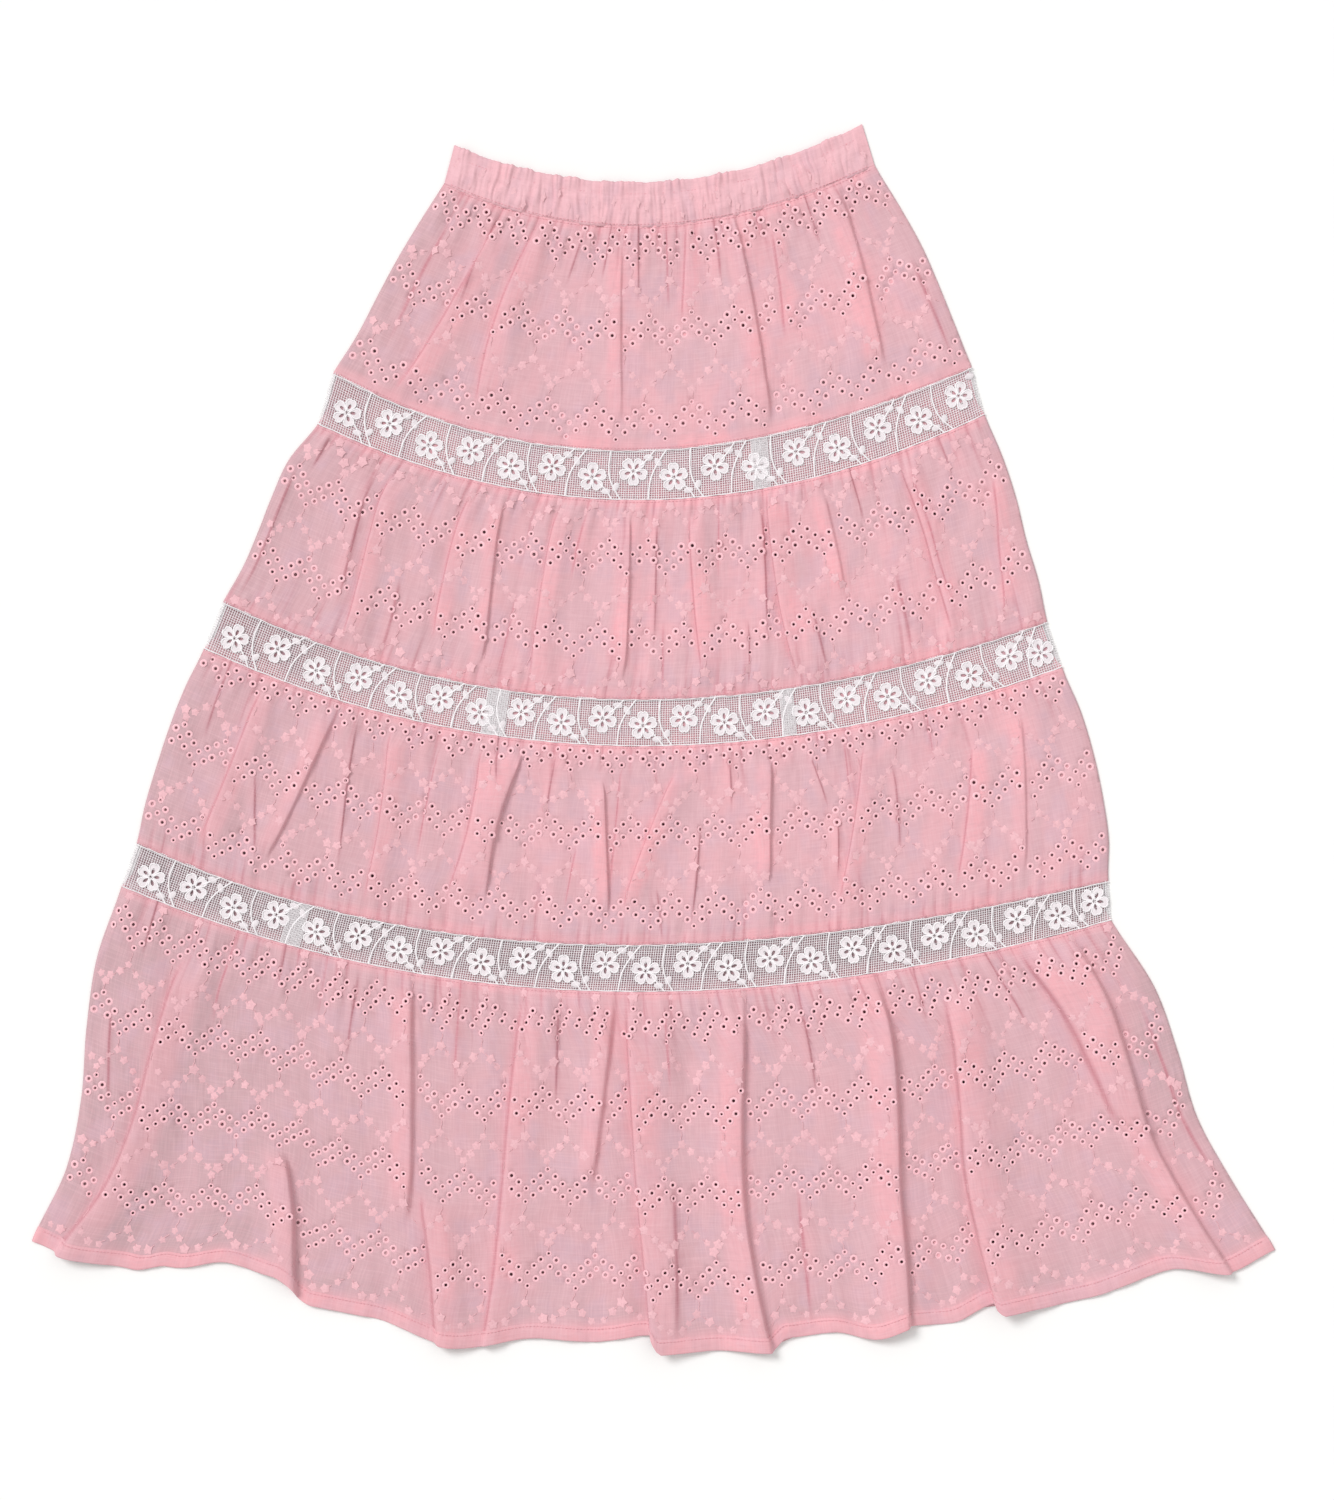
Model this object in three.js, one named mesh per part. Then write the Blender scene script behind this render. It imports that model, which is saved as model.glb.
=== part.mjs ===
// A tiered ruffle skirt, laid flat with its front upwards. Millimetres, +Z up, waist towards +Y.
// The back panels lie flat on z = 0. The front panels lie on them, with their folds and gathers raised.
// From the top: elastic waistband, then four gathered tiers with a lace band between each two.

import * as THREE from 'three';

// Cloth walls and the clearances between pieces
const CLOTH = 1.2;
const LACE = 1.0;
const HEADER = 1.6;
const ELASTIC_CHANNEL = 2.8;
const LAYER_GAP = 0.3;
const SEAM_HALF_GAP = 0.18;

// Sizes of the make
const HEADER_SHARE = 0.27;
const PUCKER_HEIGHT = 1.1;
const HEM_DEPTH = 12;
const HEM_EXTRA = 0.7;
const BACK_HEM_RISE = 2;
const EDGE_REST = 9;
const MIN_COLUMN = 0.0025;

// The middle of the skirt's outline, which becomes the origin
const CENTRE = { x: 0.25, y: -0.015 };

// Seam lines of the laid skirt. Each sags between its two ends, and skew moves the lowest place sideways.
const SEAMS = {
  waistTop: { left: [-159, 474], right: [167, 491.5], sag: 37.4, skew: 0 },
  waistSeam: { left: [-167, 444], right: [177, 458.5], sag: 41, skew: 3 },
  lace1Top: { left: [-256, 292], right: [255, 296.5], sag: 64, skew: 7.5 },
  lace1Bottom: { left: [-268, 251.5], right: [265, 259], sag: 64.5, skew: 1.5 },
  lace2Top: { left: [-344, 109], right: [315, 93], sag: 70, skew: 6.5 },
  lace2Bottom: { left: [-359, 72], right: [327, 57], sag: 70.5, skew: 4.5 },
  lace3Top: { left: [-413, -84], right: [364, -114], sag: 66.2, skew: 13.5 },
  lace3Bottom: { left: [-425, -118], right: [366, -145], sag: 70.8, skew: 7 },
  hem: { left: [-496.5, -401], right: [497, -409], sag: 80, skew: 0 },
};

// How far each tier's sides stand out of the straight line between its seams, at even steps down
const SIDES = {
  tier1: { left: [0, 1.5, 2, 0.5, -1.5, 0], right: [0, 4, 6.5, 5, 2.5, 0] },
  tier2: { left: [0, 8, 6, 2, -1, 0], right: [0, 4, 5, 3, 3, 0] },
  tier3: { left: [0, 4.5, 6, 5.5, 4, 0], right: [0, 7, 10, 10, 7.5, 0] },
  tier4: { left: [0, 5.3, -0.5, -10.5, -12.5, 0], right: [0, 8, 1, -9.5, -6.5, 0] },
};

// The free hem: how far it stands above its sagging line at places along its width, from 0 to 1
const HEM_WAVES = [
  { at: 0, rise: -1 },
  { at: 0.03, rise: -4 },
  { at: 0.08, rise: 1 },
  { at: 0.11, rise: 11 },
  { at: 0.16, rise: 26 },
  { at: 0.19, rise: 22.5 },
  { at: 0.225, rise: 5 },
  { at: 0.27, rise: 4 },
  { at: 0.34, rise: -11 },
  { at: 0.41, rise: 2.2 },
  { at: 0.45, rise: 1.5 },
  { at: 0.498, rise: 8 },
  { at: 0.51, rise: -6.6 },
  { at: 0.55, rise: -4.5 },
  { at: 0.594, rise: -7.5 },
  { at: 0.608, rise: 3.2 },
  { at: 0.645, rise: 4.8 },
  { at: 0.678, rise: -3.5 },
  { at: 0.708, rise: 3.4 },
  { at: 0.74, rise: 1.1 },
  { at: 0.774, rise: 11.5 },
  { at: 0.788, rise: 0.4 },
  { at: 0.85, rise: 1.5 },
  { at: 0.914, rise: 8.6 },
  { at: 0.966, rise: -7 },
  { at: 1, rise: 0 },
];

// The largest folds. top and foot are places across the width, at the fold's upper and lower ends,
// and from and to are its ends down the tier, all from 0 to 1. height, gentle and steep are in mm:
// the ridge rises over its gentle side and drops over its steep side, which lies to the left or right.
const FOLDS = {
  tier1: [
    { top: 0.15, foot: 0.09, from: 0.05, to: 1, height: 5, gentle: 30, steep: 12, side: 'left' },
    { top: 0.238, foot: 0.221, from: 0, to: 0.95, height: 5, gentle: 30, steep: 12, side: 'left' },
    { top: 0.41, foot: 0.444, from: 0.05, to: 0.9, height: 2.5, gentle: 22, steep: 9, side: 'right' },
    { top: 0.57, foot: 0.552, from: 0, to: 0.45, height: 3, gentle: 20, steep: 9, side: 'left' },
    { top: 0.665, foot: 0.683, from: 0, to: 1, height: 5, gentle: 30, steep: 12, side: 'right' },
    { top: 0.755, foot: 0.735, from: 0.1, to: 0.6, height: 2.5, gentle: 18, steep: 10, side: 'left' },
    { top: 0.903, foot: 0.872, from: 0, to: 0.9, height: 4.5, gentle: 28, steep: 12, side: 'right' },
  ],
  tier2: [
    { top: 0.131, foot: 0.144, from: 0.03, to: 1, height: 5, gentle: 26, steep: 10, side: 'left' },
    { top: 0.244, foot: 0.246, from: 0.04, to: 0.85, height: 4, gentle: 22, steep: 10, side: 'left' },
    { top: 0.282, foot: 0.305, from: 0.04, to: 0.95, height: 4, gentle: 18, steep: 9, side: 'right' },
    { top: 0.372, foot: 0.373, from: 0.03, to: 0.95, height: 5, gentle: 24, steep: 10, side: 'left' },
    { top: 0.466, foot: 0.479, from: 0.05, to: 0.95, height: 4.5, gentle: 24, steep: 9, side: 'right' },
    { top: 0.563, foot: 0.588, from: 0.05, to: 0.95, height: 4, gentle: 22, steep: 10, side: 'left' },
    { top: 0.679, foot: 0.706, from: 0, to: 1, height: 7.5, gentle: 34, steep: 11, side: 'left' },
    { top: 0.749, foot: 0.762, from: 0.08, to: 0.6, height: 3, gentle: 20, steep: 10, side: 'right' },
    { top: 0.87, foot: 0.893, from: 0.03, to: 0.95, height: 5.5, gentle: 30, steep: 10, side: 'left' },
    { top: 0.985, foot: 0.955, from: 0.25, to: 0.95, height: 3, gentle: 16, steep: 9, side: 'left' },
  ],
  tier3: [
    { top: 0.079, foot: 0.061, from: 0.04, to: 0.95, height: 4, gentle: 24, steep: 11, side: 'left' },
    { top: 0.155, foot: 0.12, from: 0.04, to: 0.9, height: 4.5, gentle: 24, steep: 11, side: 'right' },
    { top: 0.225, foot: 0.234, from: 0.05, to: 0.95, height: 5, gentle: 24, steep: 10, side: 'left' },
    { top: 0.33, foot: 0.316, from: 0.03, to: 0.85, height: 4.5, gentle: 24, steep: 10, side: 'left' },
    { top: 0.373, foot: 0.352, from: 0.03, to: 0.85, height: 6, gentle: 26, steep: 10, side: 'right' },
    { top: 0.464, foot: 0.481, from: 0.15, to: 0.9, height: 4.5, gentle: 22, steep: 9, side: 'right' },
    { top: 0.555, foot: 0.5, from: 0.12, to: 0.85, height: 5.5, gentle: 24, steep: 10, side: 'left' },
    { top: 0.655, foot: 0.647, from: 0.08, to: 0.75, height: 5, gentle: 24, steep: 10, side: 'right' },
    { top: 0.769, foot: 0.724, from: 0.08, to: 0.9, height: 6, gentle: 28, steep: 10, side: 'left' },
    { top: 0.884, foot: 0.845, from: 0.2, to: 0.9, height: 3.5, gentle: 24, steep: 10, side: 'left' },
    { top: 0.936, foot: 0.909, from: 0.1, to: 0.9, height: 3, gentle: 22, steep: 10, side: 'right' },
  ],
  tier4: [
    { top: 0.085, foot: 0.026, from: 0.08, to: 1, height: 9, gentle: 46, steep: 21, side: 'left' },
    { top: 0.178, foot: 0.206, from: 0.62, to: 1, height: 8, gentle: 34, steep: 19, side: 'right' },
    { top: 0.288, foot: 0.287, from: 0, to: 0.75, height: 5.5, gentle: 32, steep: 17, side: 'right' },
    { top: 0.312, foot: 0.332, from: 0.6, to: 1, height: 8, gentle: 36, steep: 21, side: 'left' },
    { top: 0.413, foot: 0.368, from: 0, to: 1, height: 6, gentle: 34, steep: 17, side: 'left' },
    { top: 0.494, foot: 0.452, from: 0, to: 0.6, height: 4, gentle: 26, steep: 16, side: 'right' },
    { top: 0.516, foot: 0.504, from: 0, to: 1, height: 10, gentle: 44, steep: 17, side: 'left' },
    { top: 0.624, foot: 0.59, from: 0, to: 1, height: 8, gentle: 40, steep: 18, side: 'right' },
    { top: 0.756, foot: 0.7, from: 0, to: 1, height: 9, gentle: 44, steep: 18, side: 'right' },
    { top: 0.826, foot: 0.782, from: 0.05, to: 1, height: 11, gentle: 46, steep: 19, side: 'left' },
    { top: 0.908, foot: 0.936, from: 0, to: 0.6, height: 5, gentle: 28, steep: 17, side: 'left' },
    { top: 0.95, foot: 0.958, from: 0, to: 1, height: 9, gentle: 40, steep: 20, side: 'right' },
  ],
};

// Each tier's small gathers, in mm of height, and the share of the tier that they run down before
// they fade. foot is how much of that height they have again above the lower seam.
const TIERS = [
  { name: 'tier1', top: 'waistSeam', bottom: 'lace1Top', gathers: 22, height: 2.2, reach: 0.3, foot: 0.2 },
  { name: 'tier2', top: 'lace1Bottom', bottom: 'lace2Top', gathers: 30, height: 2, reach: 0.45, foot: 0.8 },
  { name: 'tier3', top: 'lace2Bottom', bottom: 'lace3Top', gathers: 32, height: 2, reach: 0.4, foot: 0.8 },
  { name: 'tier4', top: 'lace3Bottom', bottom: 'hem', gathers: 34, height: 2.6, reach: 0.24, foot: 0 },
];
const TIER_ROWS = [0, 0.07, 0.3, 0.7, 0.93, 1];
const HEM_ROWS = [0, 0.04, 0.14, 0.32, 0.56, 0.78];
const WAISTBAND = { name: 'waistband', top: 'waistTop', bottom: 'waistSeam', gathers: 44 };
const LACES = [
  { name: 'lace1', top: 'lace1Top', bottom: 'lace1Bottom' },
  { name: 'lace2', top: 'lace2Top', bottom: 'lace2Bottom' },
  { name: 'lace3', top: 'lace3Top', bottom: 'lace3Bottom' },
];
const LACE_COLUMNS = 30;
const BACK_COLUMNS = 20;
const BACK_ROWS = [0, 0.2, 0.4, 0.6, 0.8, 1];

// How uneven the gathers are: sideways, as a share of their spacing, in height, and in how far they run
const JITTER = 0.15;
const SHARE = { mean: 0.68, swing: 0.32 };
const RUN_SWING = 0.5;

// Half widths of a gather and a pucker, and the shoulders of a gather, as shares of their spacing
const GATHER_REACH = 0.55;
const PUCKER_REACH = 0.5;
const SHOULDER = 0.28;

// What a seam leaves of a gather's and a fold's height, and how far from the seam they reach it all
const HELD_GATHER = 0.4;
const HELD_FOLD = 0.25;
const GATHER_RISE = 0.06;
const GATHER_FOOT_RISE = 0.08;
const FOLD_RISE = 0.14;
const FOLD_FALL = 0.2;
const GATHER_FULL = 0.1;

// The waistband's rows: where the stitches pinch it, where the channel is full, and where it thins again
const STITCH_PINCH = 0.8;
const STITCH_REACH = 0.1;
const CHANNEL_RISE = 0.14;
const CHANNEL_FALL = 0.1;
const BAND_EDGE = 0.02;
const HEM_STEP = 0.005;

const cotton = new THREE.MeshStandardMaterial({ color: 0xeeb6bf, roughness: 0.85, metalness: 0 });
const lace = new THREE.MeshStandardMaterial({ color: 0xf3efec, roughness: 0.8, metalness: 0 });

const mix = (a, b, t) => a + (b - a) * t;
const clamp01 = (t) => Math.min(1, Math.max(0, t));
const ease = (t) => clamp01(t) ** 2 * (3 - 2 * clamp01(t));

// A smooth curve through values at even steps from 0 to 1
function curveThrough(values, t) {
  const place = clamp01(t) * (values.length - 1);
  const step = Math.min(Math.floor(place), values.length - 2);
  const f = place - step;
  const value = (index) => values[Math.min(Math.max(index, 0), values.length - 1)];
  const [a, b, c, d] = [value(step - 1), value(step), value(step + 1), value(step + 2)];
  return b + 0.5 * f * (c - a + f * (2 * a - 5 * b + 4 * c - d + f * (3 * (b - c) + d - a)));
}

// The hem's rise above its sagging line
function hemRise(u) {
  const next = Math.max(1, HEM_WAVES.findIndex((row) => row.at >= u));
  const [low, high] = [HEM_WAVES[next - 1], HEM_WAVES[next]];
  return mix(low.rise, high.rise, ease((u - low.at) / (high.at - low.at)));
}

// A point of a seam line, u from its left end to its right end
function seamPoint(name, u) {
  const { left, right, sag, skew } = SEAMS[name];
  const wave = name === 'hem' ? hemRise(u) : 0;
  return {
    x: mix(left[0], right[0], u),
    y: mix(left[1], right[1], u) - 4 * u * (1 - u) * (sag + skew * (1 - 2 * u)) + wave,
  };
}

// A point of a piece seen from above, u across it and v down it
function piecePoint(piece, u, v) {
  const top = seamPoint(piece.top, u);
  const bottom = seamPoint(piece.bottom, u);
  const side = SIDES[piece.name];
  const left = side ? curveThrough(side.left, v) * (1 - u) ** 3 : 0;
  const right = side ? curveThrough(side.right, v) * u ** 3 : 0;
  const topGap = piece.top === 'waistTop' ? 0 : SEAM_HALF_GAP;
  const bottomGap = piece.bottom === 'hem' ? 0 : SEAM_HALF_GAP;
  return {
    x: mix(top.x, bottom.x, v) - left + right - CENTRE.x,
    y: mix(top.y - topGap, bottom.y + bottomGap, v) - CENTRE.y,
  };
}

// Gathers across a width: unevenly spaced and unevenly high, with no two alike
function gatherList(count, turn) {
  return Array.from({ length: count }, (_, k) => ({
    at: (k + 0.5 + JITTER * Math.sin(2.4 * k + turn)) / count,
    share: SHARE.mean + SHARE.swing * Math.sin(1.7 * k + 2 * turn),
    run: 1 + RUN_SWING * Math.sin(2.9 * k + 3 * turn),
  }));
}

// The rounded ridge of one gather or fold, 1 at its crest and 0 at its feet
function ridge(distance, reach) {
  return Math.abs(distance) < reach ? Math.cos((Math.PI * distance) / reach / 2) ** 2 : 0;
}

// Height of the small gathers above the layer below
function gatherLift(tier, gathers, u, v) {
  let lift = 0;
  for (const gather of gathers) {
    const crest = ridge((u - gather.at) * gathers.length, GATHER_REACH);
    const reach = tier.reach * gather.run;
    const below = v - GATHER_FULL;
    const above = 1 - GATHER_FULL - v;
    const upper = mix(HELD_GATHER, 1, ease(v / GATHER_RISE)) * (1 - ease(below / reach));
    const lower = mix(HELD_GATHER, 1, ease((1 - v) / GATHER_FOOT_RISE)) * (1 - ease(above / reach));
    lift += crest * gather.share * Math.max(upper, tier.foot * lower);
  }
  return lift * tier.height;
}

// Height of the large folds above the layer below
function foldLift(tier, width, u, v) {
  let lift = 0;
  for (const fold of FOLDS[tier.name]) {
    const along = (v - fold.from) / (fold.to - fold.from);
    const distance = (u - mix(fold.top, fold.foot, clamp01(along))) * width;
    const onSteepSide = fold.side === 'right' ? distance > 0 : distance < 0;
    const start = mix(fold.from === 0 ? HELD_FOLD : 0, 1, ease(along / FOLD_RISE));
    const end = fold.to === 1 && tier.bottom === 'hem' ? 1 : ease((1 - along) / FOLD_FALL);
    lift += fold.height * ridge(distance, onSteepSide ? fold.steep : fold.gentle) * start * end;
  }
  return lift;
}

// Height of a tier's front above the layer below: nothing at the side edges, where the tube turns under
function tierLift(tier, gathers, u, v) {
  const width = piecePoint(tier, 1, v).x - piecePoint(tier, 0, v).x;
  const toEdge = Math.min(u, 1 - u) * width;
  return ease(toEdge / EDGE_REST) * (gatherLift(tier, gathers, u, v) + foldLift(tier, width, u, v));
}

// Height and thickness of the waistband's front: puckers over the elastic, finer in the header
function bandLift(gathers, u, v) {
  let lift = 0;
  for (const gather of gathers) {
    lift += gather.share * ridge((u - gather.at) * gathers.length, PUCKER_REACH);
  }
  const atStitches = 1 - STITCH_PINCH * ridge(v - HEADER_SHARE, STITCH_REACH);
  return PUCKER_HEIGHT * lift * atStitches * ease(Math.min(u, 1 - u) / BAND_EDGE);
}
function bandThickness(v) {
  const overElastic = mix(HEADER, ELASTIC_CHANNEL, ease((v - HEADER_SHARE) / CHANNEL_RISE));
  return overElastic - ease((v - 1 + CHANNEL_FALL) / CHANNEL_FALL);
}

// Columns for a wall: the given places in order, with both ends and none too close together
function columnsAt(places) {
  const kept = [0];
  for (const u of places.sort((a, b) => a - b)) {
    if (u - kept.at(-1) > MIN_COLUMN && 1 - u > MIN_COLUMN) kept.push(u);
  }
  return [...kept, 1];
}

// The places that a row of gathers needs: each crest and its shoulders
const gatherPlaces = (gathers, shoulders) =>
  gathers.flatMap(({ at }) => shoulders.map((shoulder) => at + shoulder / gathers.length));
const evenColumns = (count) => Array.from({ length: count + 1 }, (_, k) => k / count);

// A closed wall over a grid of places: underside at low(u, v), and its thickness kept on slopes
function wall(piece, columns, rows, low, thickness) {
  const place = (u, v) => ({ ...piecePoint(piece, u, v), z: low(u, v), t: thickness(u, v) });
  const grid = rows.map((v) => columns.map((u) => place(u, v)));
  const slope = (a, b) => (b.z - a.z) / Math.hypot(b.x - a.x, b.y - a.y);
  const wide = columns.length;
  const count = wide * rows.length;
  const points = [];
  for (const [j, row] of grid.entries()) {
    for (const [i, p] of row.entries()) {
      const across = slope(row[Math.max(i - 1, 0)], row[Math.min(i + 1, wide - 1)]);
      const down = slope(grid[Math.max(j - 1, 0)][i], grid[Math.min(j + 1, rows.length - 1)][i]);
      points.push({ ...p, top: p.z + p.t * Math.sqrt(1 + across ** 2 + down ** 2) });
    }
  }
  const positions = [...points.flatMap((p) => [p.x, p.y, p.top]), ...points.flatMap((p) => [p.x, p.y, p.z])];
  const faces = [];
  const quad = (a, b, c, d) => faces.push(a, b, c, a, c, d);
  for (let j = 0; j + 1 < rows.length; j += 1) {
    for (let i = 0; i + 1 < wide; i += 1) {
      const a = j * wide + i;
      quad(a, a + wide, a + wide + 1, a + 1);
      quad(count + a, count + a + 1, count + a + wide + 1, count + a + wide);
    }
  }
  const rim = [];
  for (let i = 0; i < wide; i += 1) rim.push(i);
  for (let j = 1; j < rows.length; j += 1) rim.push(j * wide + wide - 1);
  for (let i = wide - 2; i >= 0; i -= 1) rim.push((rows.length - 1) * wide + i);
  for (let j = rows.length - 2; j > 0; j -= 1) rim.push(j * wide);
  rim.forEach((a, k) => {
    const b = rim[(k + 1) % rim.length];
    quad(a, b, count + b, count + a);
  });
  const geometry = new THREE.BufferGeometry();
  geometry.setAttribute('position', new THREE.Float32BufferAttribute(positions, 3));
  geometry.setIndex(faces);
  geometry.computeVertexNormals();
  return geometry;
}

// The share of the way down a tier where its hem begins, from the seam to the edge
function hemStart(tier) {
  const length = piecePoint(tier, 0.5, 0).y - piecePoint(tier, 0.5, 1).y;
  return 1 - HEM_DEPTH / length;
}

const skirt = new THREE.Group();
function add(name, geometry, material) {
  const mesh = new THREE.Mesh(geometry, material);
  mesh.name = name;
  skirt.add(mesh);
}

const FRONT_REST = CLOTH + LAYER_GAP;

function addTier(tier, turn) {
  const gathers = gatherList(tier.gathers, turn);
  const hasHem = tier.bottom === 'hem';
  const start = hasHem ? hemStart(tier) : 1;
  const rows = hasHem ? [...HEM_ROWS, start - HEM_STEP, start, 1] : TIER_ROWS;
  const hemPlaces = hasHem ? HEM_WAVES.map((row) => row.at) : [];
  const columns = columnsAt([...gatherPlaces(gathers, [-SHOULDER, 0, SHOULDER]), ...hemPlaces]);
  const front = wall(
    tier,
    columns,
    rows,
    (u, v) => FRONT_REST + tierLift(tier, gathers, u, v),
    (u, v) => CLOTH + (v >= start && hasHem ? HEM_EXTRA : 0),
  );
  add(`${tier.name}_front`, front, cotton);
  const shortening = hasHem ? 1 - BACK_HEM_RISE / (HEM_DEPTH / (1 - start)) : 1;
  const backColumns = columnsAt([...evenColumns(BACK_COLUMNS), ...hemPlaces]);
  const backRows = BACK_ROWS.map((v) => v * shortening);
  add(`${tier.name}_back`, wall(tier, backColumns, backRows, () => 0, () => CLOTH), cotton);
}

function addLace(piece) {
  const front = wall(piece, evenColumns(LACE_COLUMNS), [0, 1], () => FRONT_REST, () => LACE);
  const back = wall(piece, evenColumns(BACK_COLUMNS), [0, 1], () => 0, () => CLOTH);
  add(`${piece.name}_front`, front, lace);
  add(`${piece.name}_back`, back, lace);
}

function addWaistband() {
  const puckers = gatherList(WAISTBAND.gathers, 0.6);
  const columns = columnsAt(gatherPlaces(puckers, [0, PUCKER_REACH]));
  const rows = [0, HEADER_SHARE, HEADER_SHARE + CHANNEL_RISE, 1 - CHANNEL_FALL, 1];
  const low = (u, v) => FRONT_REST + bandLift(puckers, u, v);
  add('waistband_front', wall(WAISTBAND, columns, rows, low, (u, v) => bandThickness(v)), cotton);
  add('waistband_back', wall(WAISTBAND, evenColumns(BACK_COLUMNS), [0, 1], () => 0, () => CLOTH), cotton);
}

addWaistband();
LACES.forEach(addLace);
TIERS.forEach((tier, k) => addTier(tier, 1.3 * k));

export default skirt;
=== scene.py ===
import math
from collections import namedtuple

import bpy
import numpy as np
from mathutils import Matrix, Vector
from mathutils.geometry import delaunay_2d_cdt
from mathutils.kdtree import KDTree


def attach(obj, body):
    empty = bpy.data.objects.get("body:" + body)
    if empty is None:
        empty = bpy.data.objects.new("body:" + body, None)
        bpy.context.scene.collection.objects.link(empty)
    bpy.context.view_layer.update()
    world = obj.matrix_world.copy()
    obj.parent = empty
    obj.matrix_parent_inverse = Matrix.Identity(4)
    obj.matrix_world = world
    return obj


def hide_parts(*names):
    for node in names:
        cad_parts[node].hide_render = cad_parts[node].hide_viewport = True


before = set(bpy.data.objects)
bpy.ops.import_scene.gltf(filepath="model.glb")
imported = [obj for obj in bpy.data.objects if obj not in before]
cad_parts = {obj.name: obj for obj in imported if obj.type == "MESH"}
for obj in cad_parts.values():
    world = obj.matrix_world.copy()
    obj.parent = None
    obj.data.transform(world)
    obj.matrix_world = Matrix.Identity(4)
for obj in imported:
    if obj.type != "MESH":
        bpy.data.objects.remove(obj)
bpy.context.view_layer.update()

MM = 0.001

# The photo's frame: its size in pixels, the skirt's middle in it, and the real size of a pixel
PHOTO_WIDTH, PHOTO_HEIGHT = 1334, 1500
SKIRT_MIDDLE = (653.5, 738.5)
MM_PER_PIXEL = 0.8
CAMERA_HEIGHT = 3.0

# The middle of the outline, which is the origin
CENTRE_X, CENTRE_Y = 0.25, -0.015

# Seam lines of the laid skirt, each from its left to its right end, sagging between them
Seam = namedtuple("Seam", "left_x left_y right_x right_y sag skew")
SEAMS = {
    "waist_top": Seam(-159, 474, 167, 491.5, 37.4, 0),
    "waist_seam": Seam(-167, 444, 177, 458.5, 41, 3),
    "lace1_top": Seam(-256, 292, 255, 296.5, 64, 7.5),
    "lace1_bottom": Seam(-268, 251.5, 265, 259, 64.5, 1.5),
    "lace2_top": Seam(-344, 109, 315, 93, 70, 6.5),
    "lace2_bottom": Seam(-359, 72, 327, 57, 70.5, 4.5),
    "lace3_top": Seam(-413, -84, 364, -114, 66.2, 13.5),
    "lace3_bottom": Seam(-425, -118, 366, -145, 70.8, 7),
    "hem": Seam(-496.5, -401, 497, -409, 80, 0),
}

# How far the tiers' sides stand out of the straight line between seams, at even steps down
SIDES = {
    "tier1": ((0, 1.5, 2, 0.5, -1.5, 0), (0, 4, 6.5, 5, 2.5, 0)),
    "tier2": ((0, 8, 6, 2, -1, 0), (0, 4, 5, 3, 3, 0)),
    "tier3": ((0, 4.5, 6, 5.5, 4, 0), (0, 7, 10, 10, 7.5, 0)),
    "tier4": ((0, 5.3, -0.5, -10.5, -12.5, 0), (0, 8, 1, -9.5, -6.5, 0)),
}

# The free hem: places across it, from 0 to 1, and how far it stands above its sagging line there
HEM_WAVES = (
    (0, -1), (0.03, -4), (0.08, 1), (0.11, 11), (0.16, 26), (0.19, 22.5), (0.225, 5), (0.27, 4), (0.34, -11),
    (0.41, 2.2), (0.45, 1.5), (0.498, 8), (0.51, -6.6), (0.55, -4.5), (0.594, -7.5), (0.608, 3.2),
    (0.645, 4.8), (0.678, -3.5), (0.708, 3.4), (0.74, 1.1), (0.774, 11.5), (0.788, 0.4), (0.85, 1.5),
    (0.914, 8.6), (0.966, -7), (1, 0),
)

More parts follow.
